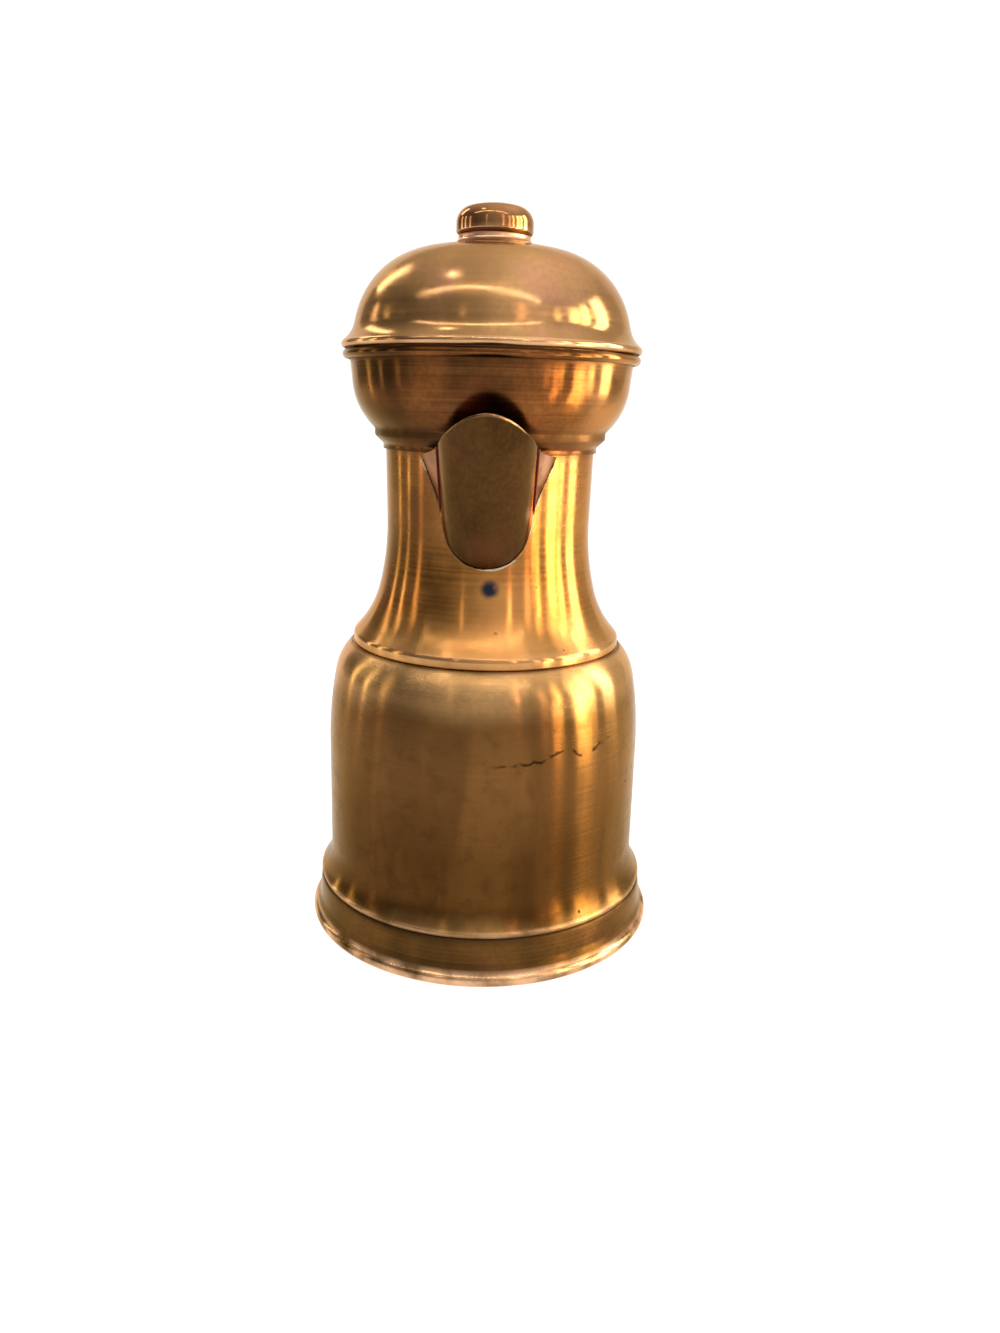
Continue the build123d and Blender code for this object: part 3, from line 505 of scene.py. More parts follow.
def cut_pour_window(neck):
    """Cuts the arched opening behind the spout through the neck."""
    arch_r = POUR_WINDOW_W / 2
    sill = SPOUT_FOOT_Z + POUR_WINDOW_UP
    spring = sill + POUR_WINDOW_H - arch_r
    cut_from, cut_length = -2 * NECK_R * MM, 1.5 * NECK_R * MM
    outline = [(-arch_r, sill), (arch_r, sill)]
    for step in range(POUR_ARCH_STEPS + 1):
        outline.append(polar((0.0, spring), arch_r, 180 * step / POUR_ARCH_STEPS))
    bm = bmesh.new()
    face = bm.faces.new([bm.verts.new((x * MM, cut_from, z * MM)) for x, z in outline])
    pushed = bmesh.ops.extrude_face_region(bm, geom=[face])
    moved = [item for item in pushed["geom"] if isinstance(item, bmesh.types.BMVert)]
    bmesh.ops.translate(bm, verts=moved, vec=(0, cut_length, 0))
    bmesh.ops.recalc_face_normals(bm, faces=bm.faces)
    mesh = bpy.data.meshes.new("pour_window_cutter")
    bm.to_mesh(mesh)
    bm.free()
    cutter = bpy.data.objects.new("pour_window_cutter", mesh)
    bpy.context.scene.collection.objects.link(cutter)
    cut = neck.modifiers.new("window", "BOOLEAN")
    cut.operation = "DIFFERENCE"
    cut.object = cutter
    opened = shape_of(neck)
    neck.modifiers.remove(cut)
    neck.data = opened
    bpy.data.objects.remove(cutter)


def spout_half(height):
    """The right half of the spout's level section at a height.

    That is the front arc's centre, its radius and the angle where it ends, the fold's centre and the angle
    where it ends, and the two ends of the side.
    """
    spread = (height - SPOUT_FOOT_Z) * SPOUT_TAPER
    front_y = SPOUT_FOOT_Y - (height - SPOUT_FOOT_Z) * tan(radians(SPOUT_LEAN))
    fold_x = SPOUT_FOLD_X + spread
    front_r = SPOUT_FRONT_R + spread
    fold_y = front_y + front_r - sqrt(front_r**2 - fold_x**2)
    back_x = fold_x - fold_y * tan(radians(SPOUT_FLARE))
    length = hypot(back_x - fold_x, fold_y)
    along = (back_x - fold_x) / length, -fold_y / length
    inward = -along[1], along[0]
    centre = 0.0, front_y + front_r
    start = fold_x + SPOUT_FOLD_R * inward[0] - centre[0], fold_y + SPOUT_FOLD_R * inward[1] - centre[1]
    half = start[0] * along[0] + start[1] * along[1]
    rest = start[0] ** 2 + start[1] ** 2 - (front_r - SPOUT_FOLD_R) ** 2
    run = -half + sqrt(half * half - rest)
    fold = centre[0] + start[0] + run * along[0], centre[1] + start[1] + run * along[1]
    into = degrees(atan2(fold[1] - centre[1], fold[0] - centre[0]))
    out = degrees(atan2(-inward[1], -inward[0]))
    leaves = polar(fold, SPOUT_FOLD_R, out)
    return centre, front_r, into, fold, out, leaves, (back_x, 0.0)


def spout_at(across, height):
    """The point of the spout's outside at a share across it (-1 and 1 are its ends) and a height."""
    centre, front_r, into, fold, out, leaves, back = spout_half(height)
    share = abs(across)
    if share < FRONT_SHARE:
        x, y = polar(centre, front_r, -90 + (into + 90) * share / FRONT_SHARE)
    elif share < FRONT_SHARE + FOLD_SHARE:
        x, y = polar(fold, SPOUT_FOLD_R, into + (out - into) * (share - FRONT_SHARE) / FOLD_SHARE)
    else:
        part = (share - FRONT_SHARE - FOLD_SHARE) / (1 - FRONT_SHARE - FOLD_SHARE)
        x, y = leaves[0] + (back[0] - leaves[0]) * part, leaves[1] + (back[1] - leaves[1]) * part
    return (x if across > 0 else -x), y


def circle_through(a, b, c):
    """The centre and radius of the circle through three points."""
    turn = 2 * (a[0] * (b[1] - c[1]) + b[0] * (c[1] - a[1]) + c[0] * (a[1] - b[1]))
    squares = [p[0] ** 2 + p[1] ** 2 for p in (a, b, c)]
    x = (squares[0] * (b[1] - c[1]) + squares[1] * (c[1] - a[1]) + squares[2] * (a[1] - b[1])) / turn
    y = (squares[0] * (c[0] - b[0]) + squares[1] * (a[0] - c[0]) + squares[2] * (b[0] - a[0])) / turn
    return (x, y), hypot(a[0] - x, a[1] - y)


# The lip lies on a cylinder across the pitcher, through the tip, the folds' tops and the neck: (y, height)
TIP_Z = SKIRT_FOOT[1] + LIP_TIP_UP
TIP = (SPOUT_FOOT_Y - (TIP_Z - SPOUT_FOOT_Z) * tan(radians(SPOUT_LEAN)), TIP_Z)
LIP_ROOT = (LIP_NECK_IN - NECK_R, SKIRT_FOOT[1] - LIP_NECK_DROP)
LIP_CENTRE, LIP_R = circle_through(TIP, (TIP[0] + LIP_FOLD_BACK, TIP_Z - LIP_FOLD_DROP), LIP_ROOT)


def halve(test, low, high):
    """The value between low, where the test is false, and high, where it is true, at which it turns."""
    for _ in range(HALVINGS):
        middle = (low + high) / 2
        if test(middle):
            high = middle
        else:
            low = middle
    return (low + high) / 2


def clear_of_neck(across, height):
    x, y = spout_at(across, height)
    return hypot(x, y) > neck_radius(height) + SOLDER_GAP


def over_lip(across, height):
    _, y = spout_at(across, height)
    reach = LIP_R**2 - (y - LIP_CENTRE[0]) ** 2
    return height > LIP_CENTRE[1] - sqrt(max(reach, 0.0))


def spout_ends(across):
    """The heights where the spout leaves the neck and where its top edge is."""
    room = 1.0
    top = halve(lambda z: over_lip(across, z), SPOUT_FOOT_Z, TIP_Z + room)
    foot = halve(lambda z: clear_of_neck(across, z), SPOUT_FOOT_Z - 2 * room, top)
    return foot, top


# The share across the spout, short of its level section's end, at which its lip meets the neck
WIDEST_SEARCH = 0.6
SPOUT_EDGE = 1 - halve(lambda s: clear_of_neck(1 - s, LIP_ROOT[1]), 0.0, WIDEST_SEARCH)


def make_spout():
    """The folded spout: a grid laid between the neck and the lip, then given its thickness."""
    bm = bmesh.new()
    bmesh.ops.create_grid(bm, x_segments=SPOUT_COLUMNS, y_segments=SPOUT_ROWS, size=1.0)
    ends = {}
    for vert in bm.verts:
        across = vert.co.x * SPOUT_EDGE * SPOUT_END_ROOM
        up = (vert.co.y + 1) / 2
        column = round(vert.co.x, 5)
        if column not in ends:
            ends[column] = spout_ends(across)
        foot, top = ends[column]
        ripple = SPOUT_RIPPLE * noise.noise(Vector((across * SPOUT_RIPPLES, 0.0, 4.0))) * up
        height = foot + (top - foot) * up - abs(ripple)
        x, y = spout_at(across, height)
        dent = SPOUT_DENT * noise.noise(Vector((x, y, height)) / SPOUT_DENT_CELL)
        vert.co = Vector((x, y + dent, height)) * MM
    bmesh.ops.recalc_face_normals(bm, faces=bm.faces)
    front = max(bm.faces, key=lambda face: -face.calc_center_median().y)
    if front.normal.y > 0:
        bmesh.ops.reverse_faces(bm, faces=bm.faces)
    worn_and_highlit = bm.verts.layers.float.new("worn_and_highlit")
    bm.verts.layers.float.new("dirty")
    for vert in bm.verts:
        if vert.is_boundary and vert.co.z > (SPOUT_FOOT_Z + LIP_WORN_FROM) * MM:
            vert[worn_and_highlit] = 1.0
    piece = finish_mesh(bm, "folded_spout", "vessel", crease=SPOUT_CREASE)
    wall = piece.modifiers.new("wall", "SOLIDIFY")
    wall.thickness = SPOUT_SHEET * MM
    wall.offset = -1.0
    wall.material_offset = 1
    return piece


def make_solder():
    """The ragged line of solder where the spout meets the neck."""
    curve = bpy.data.curves.new("spout_solder", "CURVE")
    curve.dimensions = "3D"
    curve.bevel_depth = SOLDER_R * MM
    curve.bevel_resolution = 3
    curve.use_fill_caps = True
    line = curve.splines.new("POLY")
    line.points.add(SOLDER_POINTS)
    for step in range(SOLDER_POINTS + 1):
        across = (2 * step / SOLDER_POINTS - 1) * SPOUT_EDGE * SOLDER_END_ROOM
        foot, _ = spout_ends(across)
        x, y = spout_at(across, foot)
        rough = noise.noise(Vector((x, y, foot)) / SOLDER_CELL)
        blob = noise.noise(Vector((x, y, foot)) / SOLDER_BLOB_CELL + Vector(SOLDER_BLOB_SHIFT))
        out = 1 + SOLDER_OUT / hypot(x, y)
        height = foot - SOLDER_DOWN + SOLDER_WANDER * rough
        line.points[step].co = (x * out * MM, y * out * MM, height * MM, 1.0)
        share = SOLDER_USUAL + SOLDER_ROUGH * rough + SOLDER_BLOB * blob
        line.points[step].radius = max(SOLDER_THINNEST, share)
    holder = bpy.data.objects.new("spout_solder_line", curve)
    bpy.context.scene.collection.objects.link(holder)
    bm = bmesh.new()
    bm.from_mesh(shape_of(holder))
    bpy.data.objects.remove(holder)
    bmesh.ops.remove_doubles(bm, verts=bm.verts, dist=MERGE_WITHIN)
    bmesh.ops.recalc_face_normals(bm, faces=bm.faces)
    return finish_mesh(bm, "spout_solder", "vessel", crease=SOLDER_CREASE)


class Nodes:
    """The nodes of a material or of the world, made and joined by plain calls."""

    def __init__(self, owner):
        owner.use_nodes = True
        self.tree = owner.node_tree

    def node(self, kind, **settings):
        made = self.tree.nodes.new(kind)
        for key, value in settings.items():
            setattr(made, key, value)
        return made

    def feed(self, socket, value):
        """Joins a socket to another node's, or sets its own value."""
        if isinstance(value, bpy.types.NodeSocket):
            self.tree.links.new(value, socket)
        elif isinstance(value, tuple) and len(value) == 3 and socket.type == "RGBA":
            socket.default_value = (*value, 1.0)
        else:
            socket.default_value = value

    def reckon(self, operation, *values):
        made = self.node("ShaderNodeMath", operation=operation)
        for socket, value in zip(made.inputs, values):
            self.feed(socket, value)
        return made.outputs[0]

    def plus(self, first, second):
        return self.reckon("ADD", first, second)

    def times(self, first, second):
        return self.reckon("MULTIPLY", first, second)

    def fit(self, value, low, high, to_low=0.0, to_high=1.0, way="SMOOTHSTEP"):
        """The value carried over from low and high to to_low and to_high, and no further."""
        made = self.node("ShaderNodeMapRange", interpolation_type=way)
        names = ("Value", "From Min", "From Max", "To Min", "To Max")
        for name, item in zip(names, (value, low, high, to_low, to_high)):
            self.feed(made.inputs[name], item)
        return made.outputs[0]

    def parts(self, place):
        """The x, y and z of a place."""
        made = self.node("ShaderNodeSeparateXYZ")
        self.feed(made.inputs[0], place)
        return made.outputs


# The old ragged scratch on the right of the body's front
SCRATCH_Z = 0.1000
SCRATCH_CLIMB = 0.13
SCRATCH_WANDER = 0.016
SCRATCH_HALF_W = (0.0002, 0.0013)
SCRATCH_STARTS = (0.002, 0.012)
SCRATCH_ENDS = (0.050, 0.064)
SCRATCH_FRONT = (-0.03, -0.02)
SCRATCH_BROKEN = (0.4, 0.52)

WARM_EDGE = (1.0, 0.80, 0.60)
MARK_MIDDLE = 0.35  # of a mark's reach, where it is still full
MARK_CLOUDS = 0.9  # along a mark's reach, which make it ragged
SPECK_CORE = 0.5  # of a speck's size, where it is still full
SPECK_CLUSTER = 0.31  # how coarse the pattern is that picks the specks, beside their own
SPECK_PICK_EDGE = 0.05
BRUSHED_WAY = 0.25  # of a full turn


class Finish(Nodes):
    """The recipe of one surface, built up from patterns that follow the piece in its own space."""

    def __init__(self, name):
        self.material = bpy.data.materials.new(name)
        super().__init__(self.material)
        self.shader = self.tree.nodes["Principled BSDF"]
        self.place = self.node("ShaderNodeTexCoord").outputs["Object"]

    def blend(self, share, first, second):
        """The first colour going over to the second by the share."""
        made = self.node("ShaderNodeMix", data_type="RGBA", blend_type="MIX")
        self.feed(made.inputs["Factor"], share)
        colours = [socket for socket in made.inputs if socket.type == "RGBA"]
        self.feed(colours[0], first)
        self.feed(colours[1], second)
        return next(socket for socket in made.outputs if socket.type == "RGBA")

    def tint(self, colour, pattern, share, shade):
        """The colour with a shade over it wherever the pattern is, as strong as the share at most."""
        return self.blend(self.times(pattern, share), colour, shade)

    def cloud(self, scale, detail, stretch=None, twist=0.0):
        """A cloudy pattern from 0 to 1, of so many clouds to a metre."""
        made = self.node("ShaderNodeTexNoise")
        place = self.place
        if stretch:
            mapping = self.node("ShaderNodeMapping")
            self.feed(mapping.inputs["Vector"], place)
            mapping.inputs["Scale"].default_value = stretch
            place = mapping.outputs[0]
        self.feed(made.inputs["Vector"], place)
        made.inputs["Scale"].default_value = scale
        made.inputs["Detail"].default_value = detail
        made.inputs["Distortion"].default_value = twist
        return made.outputs[0]

    def turning_lines(self, scale):
        """Fine rings round the axis, as spinning and polishing leave them."""
        x, y, z = self.parts(self.place)
        along = self.plus(self.reckon("SQRT", self.plus(self.times(x, x), self.times(y, y))), z)
        made = self.node("ShaderNodeTexNoise", noise_dimensions="1D")
        self.feed(made.inputs["W"], along)
        made.inputs["Scale"].default_value = scale
        made.inputs["Detail"].default_value = 4.0
        return made.outputs[0]

    def near(self, centre, reach):
        """1 at a place on the piece, falling to 0 at the reach."""
        away = self.node("ShaderNodeVectorMath", operation="DISTANCE")
        self.feed(away.inputs[0], self.place)
        away.inputs[1].default_value = centre
        return self.fit(away.outputs["Value"], reach * MARK_MIDDLE, reach, 1.0, 0.0)

    def wander(self, scale, detail, reach):
        """A cloudy pattern that strays from 0 to either side."""
        return self.times(self.reckon("SUBTRACT", self.cloud(scale, detail), 0.5), reach)

    def wavy_scratch(self):
        """An old ragged scratch that climbs a little across the right of the body's front."""
        x, y, z = self.parts(self.place)
        straight = self.plus(SCRATCH_Z, self.times(x, SCRATCH_CLIMB))
        middle = self.plus(straight, self.wander(70.0, 5.0, SCRATCH_WANDER))
        off = self.reckon("ABSOLUTE", self.reckon("SUBTRACT", z, middle))
        line = self.fit(off, *SCRATCH_HALF_W, 1.0, 0.0)
        line = self.times(line, self.fit(x, *SCRATCH_STARTS))
        line = self.times(line, self.fit(x, *SCRATCH_ENDS, 1.0, 0.0))
        line = self.times(line, self.fit(y, *SCRATCH_FRONT, 1.0, 0.0))
        return self.times(line, self.fit(self.cloud(150.0, 3.0), *SCRATCH_BROKEN))

    def kept(self, name):
        """What a spun piece keeps at its points under a name."""
        return self.node("ShaderNodeAttribute", attribute_name=name).outputs["Fac"]

    def specks(self, scale, size, amount):
        """Scattered small spots."""
        made = self.node("ShaderNodeTexVoronoi")
        self.feed(made.inputs["Vector"], self.place)
        made.inputs["Scale"].default_value = scale
        spot = self.fit(made.outputs["Distance"], size * SPECK_CORE, size, 1.0, 0.0)
        pick = self.fit(self.cloud(scale * SPECK_CLUSTER, 1.0), 1 - amount, 1 - amount + SPECK_PICK_EDGE)
        return self.times(spot, pick)

    def finish(self, colour, roughness, height, depth=0.0002, metallic=1.0, strength=0.3):
        """Gives the shader what was built up, with the height as fine relief."""
        self.feed(self.shader.inputs["Base Color"], colour)
        self.feed(self.shader.inputs["Roughness"], roughness)
        self.feed(self.shader.inputs["Metallic"], metallic)
        self.feed(self.shader.inputs["Specular Tint"], WARM_EDGE)
        bump = self.node("ShaderNodeBump")
        self.feed(bump.inputs["Strength"], strength)
        self.feed(bump.inputs["Distance"], depth)
        self.feed(bump.inputs["Height"], height)
        self.feed(self.shader.inputs["Normal"], bump.outputs[0])
        return self.material


WORN_AND_HIGHLIGHT_COPPER = (0.80, 0.48, 0.27)
GRIME = (0.07, 0.038, 0.016)
BLUSH = (1.15, 0.95, 1.6)
SCRATCH_SHADE = (0.016, 0.010, 0.005)
PATINA_SPOT = (0.05, 0.06, 0.08)

# A spot of another shade, for stains and for painted shade and painted highlights: its place, how far it
# reaches, its shade and how strong it is
Mark = namedtuple("Mark", "place reach shade share")
# Painted shade and painted light by height: full up to one height, gone at another, its shade and how strong
# it is
PaintedZone = namedtuple("PaintedZone", "full gone shade share")
ZONE_WANDER = 0.02
ZONE_STREAK = 1.5
ZONE_MOTTLE_DARK = 0.45


def shaded(shade, by):
    """A shade made lighter or darker by a number, or by one number for each of its parts."""
    if not isinstance(by, tuple):
        by = (by, by, by)
    return tuple(value * factor for value, factor in zip(shade, by))


def copper(
    name, deep, middle, light, shine, marks=(), painted_zones=(), turned=True, scratch=False,
    spots=0.3, lines=0.3, brushed=0.0, rub_and_highlight=0.45,
):
    """Old polished copper: cloudy brown patina, polishing lines, specks, rubbed edges and dirty corners, with
    painted shade and painted highlights worked into its colour.

    The shades are those of its patina, made darker as painted shade on some pieces and paler as painted light
    on the knob's foot, and the shine is how rough its smoothest places are. The marks are stains, painted
    shade and painted highlights, and the painted zones are painted shade and painted light by height. The
    last four say how many specks it has, how deep its lines are, how far its gloss is drawn out by brushing,
    and how bare its edges are rubbed, which on beads and rims is also a painted highlight.
    """
    f = Finish(name)
    clouds = f.cloud(16.0, 5.0, twist=0.4)
    streaks = f.cloud(9.0, 5.0, stretch=(5.0, 5.0, 0.9))
    if turned:
        fine = f.turning_lines(700.0)
        broad = f.turning_lines(110.0)
    else:
        fine = f.cloud(160.0, 4.0, stretch=(6.0, 6.0, 0.25))
        broad = f.cloud(40.0, 3.0, stretch=(5.0, 5.0, 0.4))
    mottle = f.cloud(130.0, 4.0)
    pink_patches = f.cloud(24.0, 6.0, twist=0.6)
    grain = f.cloud(420.0, 3.0)
    tone = f.plus(f.times(clouds, 0.55), f.times(streaks, 0.45))
    colour = f.blend(f.fit(tone, 0.40, 0.58), deep, middle)
    # Each layer over the last: its pattern, where that starts and is full, how strong it is, its shade
    for pattern, start, full, share, shade in (
        (broad, 0.5, 0.72, 0.08, light),
        (mottle, 0.5, 0.75, 0.22, deep),
        (fine, 0.42, 0.62, 0.07, light),
        (pink_patches, 0.48, 0.68, 0.45, shaded(middle, BLUSH)),
        (grain, 0.35, 0.7, 0.3, deep),
    ):
        colour = f.tint(colour, f.fit(pattern, start, full), share, shade)
    # Painted shade and painted light by height, streaked and mottled
    if painted_zones:
        height = f.plus(f.parts(f.place)[2], f.wander(26.0, 4.0, ZONE_WANDER))
    for painted_zone in painted_zones:
        bands = f.blend(f.fit(streaks, 0.42, 0.66), painted_zone.shade, shaded(painted_zone.shade, ZONE_STREAK))
        painted_tone = f.tint(bands, f.fit(mottle, 0.48, 0.7), 0.25, shaded(painted_zone.shade, ZONE_MOTTLE_DARK))
        colour = f.blend(f.fit(height, painted_zone.full, painted_zone.gone, painted_zone.share, 0.0), colour, painted_tone)
    if scratch:
        colour = f.tint(colour, f.wavy_scratch(), 0.9, SCRATCH_SHADE)
    specks = f.reckon("MAXIMUM", f.specks(210.0, 0.17, spots), f.specks(75.0, 0.075, spots + 0.15))
    colour = f.tint(colour, specks, 0.7, GRIME)
    # Rubbed bare edges, laid on beads and rims strongly enough to be a painted highlight
    wear_and_highlight = f.times(f.kept("worn_and_highlit"), f.fit(f.cloud(60.0, 4.0), 0.25, 0.6))
    colour = f.tint(colour, wear_and_highlight, rub_and_highlight, WORN_AND_HIGHLIGHT_COPPER)
    dirty = f.times(f.kept("dirty"), f.fit(f.cloud(95.0, 4.0), 0.2, 0.62, 0.45, 1.0))
    colour = f.tint(colour, dirty, 0.85, GRIME)
    for mark in marks:
        clouding = f.fit(f.cloud(MARK_CLOUDS / mark.reach, 4.0), 0.3, 0.55)
        ragged = f.times(f.near(mark.place, mark.reach), clouding)
        colour = f.tint(colour, ragged, mark.share, mark.shade)
    rough = f.plus(f.fit(clouds, 0.3, 0.7, shine, shine + 0.07), f.fit(fine, 0.3, 0.7, 0.0, 0.05))
    for pattern, more in ((f.fit(mottle, 0.4, 0.7), 0.05), (dirty, 0.35), (specks, 0.3)):
        rough = f.plus(rough, f.times(pattern, more))
    relief = f.plus(f.times(fine, lines), f.times(broad, 0.5))
    relief = f.plus(relief, f.times(f.cloud(45.0, 2.0), 1.2))
    f.shader.inputs["Anisotropic"].default_value = brushed
    f.shader.inputs["Anisotropic Rotation"].default_value = BRUSHED_WAY
    return f.finish(colour, rough, relief)


def tin(name):
    """A worn tin lining, with the copper showing through in patches."""
    f = Finish(name)
    clouds = f.cloud(20.0, 5.0)
    colour = f.blend(f.fit(clouds, 0.35, 0.65), (0.40, 0.385, 0.35), (0.62, 0.61, 0.58))
    colour = f.tint(colour, f.fit(f.cloud(70.0, 5.0), 0.58, 0.72), 0.6, (0.55, 0.33, 0.19))
    return f.finish(colour, f.fit(clouds, 0.3, 0.7, 0.28, 0.45), f.cloud(90.0, 4.0), depth=0.0003)


def solder_grey(name):
    """Old solder: dull, lumpy grey with brown stains."""
    f = Finish(name)
    mottle = f.cloud(260.0, 4.0)
    colour = f.blend(f.fit(mottle, 0.4, 0.62), (0.62, 0.58, 0.50), (0.46, 0.44, 0.36))
    colour = f.blend(f.fit(f.cloud(60.0, 3.0), 0.48, 0.56), colour, (0.24, 0.13, 0.06))
    return f.finish(colour, 0.55, mottle, depth=0.0004, metallic=0.35, strength=0.6)


def dull_steel(name):
    """Iron wire gone dull, with a trace of rust."""
    f = Finish(name)
    clouds = f.cloud(240.0, 4.0)
    colour = f.blend(f.fit(clouds, 0.4, 0.7), (0.48, 0.47, 0.45), (0.24, 0.19, 0.15))
    return f.finish(colour, f.fit(clouds, 0.3, 0.7, 0.3, 0.5), clouds, depth=0.0001)


CAMERA_PLACE = (0.00743, -0.480, 0.2552)
CAMERA_DOWN = 15.0
CAMERA_ROLL = 1.53
CAMERA_LENS = 27.0
CAMERA_LONG_SIDE = 36.0

# The air's colour from the ground up: (how high, from 0 straight down to 1 straight up, and the colour)
AIR = [
    (0.42, (0.74, 0.68, 0.60)),
    (0.78, (0.86, 0.83, 0.78)),
    (0.95, (1.45, 1.38, 1.26)),
]
# It is this strong on the left, and grows to its full strength between these x's of its direction
AIR_DIM = 0.25
AIR_GROWS = (-0.85, 0.25)

# The paper lies level, sweeps up behind the pitcher and stands up
PAPER_ROWS = 60
PAPER_HALF_W = 2.2
PAPER_LENGTH = 7.1
PAPER_LEVEL = 4.5
PAPER_SWEEP = 1.0
PAPER_SWEEP_Y = 2.0
PAPER_SWEEP_R = 0.64
PAPER_GREY = (0.30, 0.30, 0.30)
PAPER_GLOW = 0.88

# Lamps: name, place, height on the pitcher's axis that it is turned to, width, height, brightness, colour
LAMPS = [
    ("ceiling_bar", (-0.20, -0.80, 1.50), 0.25, 2.6, 0.035, 16.0, (1.0, 0.93, 0.80)),
    ("ceiling_left", (-0.50, -0.22, 1.5), 0.25, 0.16, 0.12, 10.0, (1.0, 0.93, 0.80)),
    ("rim_left", (-0.9, 0.7, 1.1), 0.25, 0.25, 0.5, 5.0, (1.0, 0.96, 0.88)),
    ("low_right", (0.50, -0.16, 0.10), 0.1, 0.12, 0.20, 11.0, (1.0, 0.80, 0.42)),
    ("low_right_b", (0.44, -0.36, 0.10), 0.1, 0.05, 0.20, 10.0, (1.0, 0.66, 0.36)),
    ("window_right_a", (1.05, 0.25, 0.45), 0.2, 0.26, 0.9, 8.0, (1.0, 0.94, 0.76)),
    ("window_right_b", (1.15, -0.10, 0.45), 0.2, 0.14, 0.9, 9.0, (1.0, 0.90, 0.58)),
    ("window_right_c", (1.15, -0.35, 0.45), 0.2, 0.20, 0.9, 7.0, (1.0, 0.86, 0.50)),
    ("window_right_d", (1.0, -0.66, 0.45), 0.2, 0.07, 0.9, 9.0, (1.0, 0.84, 0.40)),
    ("window_right_e", (0.90, -0.92, 0.45), 0.2, 0.12, 0.9, 2.6, (1.0, 0.70, 0.46)),
    ("strip_right_high", (0.52, -1.1, 0.75), 0.2, 0.07, 0.7, 4.5, (1.0, 0.62, 0.42)),
    ("strip_left", (-1.05, 0.45, 0.36), 0.2, 0.08, 0.72, 4.0, (1.0, 0.90, 0.62)),
    ("strip_left_b", (-1.12, 0.12, 0.36), 0.2, 0.05, 0.72, 5.0, (1.0, 0.90, 0.6)),
    ("strip_left_c", (-1.1, -0.25, 0.36), 0.2, 0.09, 0.72, 2.2, (1.0, 0.78, 0.5)),
    ("strip_left_front", (-0.50, -1.1, 0.75), 0.2, 0.04, 0.5, 2.6, (1.0, 0.84, 0.6)),
]


def place_camera(scene):
    camera = bpy.data.cameras.new("camera")
    camera.lens = CAMERA_LENS
    camera.sensor_width = CAMERA_LONG_SIDE
    holder = bpy.data.objects.new("camera", camera)
    down = Matrix.Rotation(radians(90.0 - CAMERA_DOWN), 4, "X")
    roll = Matrix.Rotation(radians(CAMERA_ROLL), 4, "Z")
    holder.matrix_world = Matrix.Translation(CAMERA_PLACE) @ down @ roll
    scene.collection.objects.link(holder)
    scene.camera = holder


def fill_air(scene):
    """The light of the room: warm below, bright overhead and dim on the left."""
    scene.world = bpy.data.worlds.new("studio_air")
    air = Nodes(scene.world)
    background = air.tree.nodes["Background"]
    x, _, z = air.parts(air.node("ShaderNodeTexCoord").outputs["Generated"])
    ramp = air.node("ShaderNodeValToRGB")
    air.feed(ramp.inputs[0], air.fit(z, -1.0, 1.0, way="LINEAR"))
    stops = ramp.color_ramp.elements
    for number, (high, colour) in enumerate(AIR):
        stop = stops[number] if number < len(stops) else stops.new(high)
        stop.position = high
        stop.color = (*colour, 1)
    air.feed(background.inputs["Color"], ramp.outputs[0])
    air.feed(background.inputs["Strength"], air.fit(x, *AIR_GROWS, AIR_DIM, 1.0, way="LINEAR"))


def paper_at(run):
    """The depth and height of the paper at a length along it from where it starts to sweep up."""
    if run < 0:
        return PAPER_SWEEP_Y + run, 0.0
    if run < PAPER_SWEEP:
        angle = run / PAPER_SWEEP * pi / 2
        return PAPER_SWEEP_Y + sin(angle) * PAPER_SWEEP_R, PAPER_SWEEP_R - cos(angle) * PAPER_SWEEP_R
    return PAPER_SWEEP_Y + PAPER_SWEEP_R, PAPER_SWEEP_R + run - PAPER_SWEEP


def white_paper():
    """Pale paper that shines white to the camera and in the copper alone, and keeps the pitcher's shadow."""
    paper = bpy.data.materials.new("white_paper")
    nodes = Nodes(paper)
    nodes.tree.nodes.clear()
    diffuse = nodes.node("ShaderNodeBsdfDiffuse")
    nodes.feed(diffuse.inputs["Color"], PAPER_GREY)
    path = nodes.node("ShaderNodeLightPath").outputs
    seen = nodes.plus(nodes.plus(path["Is Camera Ray"], path["Is Glossy Ray"]), path["Is Transmission Ray"])
    glow = nodes.node("ShaderNodeEmission")
    nodes.feed(glow.inputs["Strength"], nodes.times(seen, PAPER_GLOW))
    both = nodes.node("ShaderNodeAddShader")
    nodes.feed(both.inputs[0], diffuse.outputs[0])
    nodes.feed(both.inputs[1], glow.outputs[0])
    out = nodes.node("ShaderNodeOutputMaterial")
    nodes.feed(out.inputs["Surface"], both.outputs[0])
    return paper


def lay_paper(scene):
    bm = bmesh.new()
    bmesh.ops.create_grid(bm, x_segments=2, y_segments=PAPER_ROWS, size=1.0)
    for vert in bm.verts:
        y, z = paper_at((vert.co.y + 1) / 2 * PAPER_LENGTH - PAPER_LEVEL)
        vert.co = (vert.co.x * PAPER_HALF_W, y, z)
    for face in bm.faces:
        face.smooth = True
    mesh = bpy.data.meshes.new("floor")
    bm.to_mesh(mesh)
    bm.free()
    mesh.materials.append(white_paper())
    floor = bpy.data.objects.new("floor", mesh)
    scene.collection.objects.link(floor)


def softbox(scene, name, place, aim_height, width, height, brightness, colour):
    """A soft lamp at a place, turned to a height on the pitcher's axis."""
    lamp = bpy.data.lights.new(name, "AREA")
    lamp.shape = "RECTANGLE"
    lamp.size = width
    lamp.size_y = height
    lamp.energy = brightness * pi * width * height
    lamp.color = colour
    holder = bpy.data.objects.new(name, lamp)
    away = Vector(place) - Vector((0, 0, aim_height))
    turned = away.to_track_quat("Z", "Y").to_matrix().to_4x4()
    holder.matrix_world = Matrix.Translation(Vector(place)) @ turned
    scene.collection.objects.link(holder)


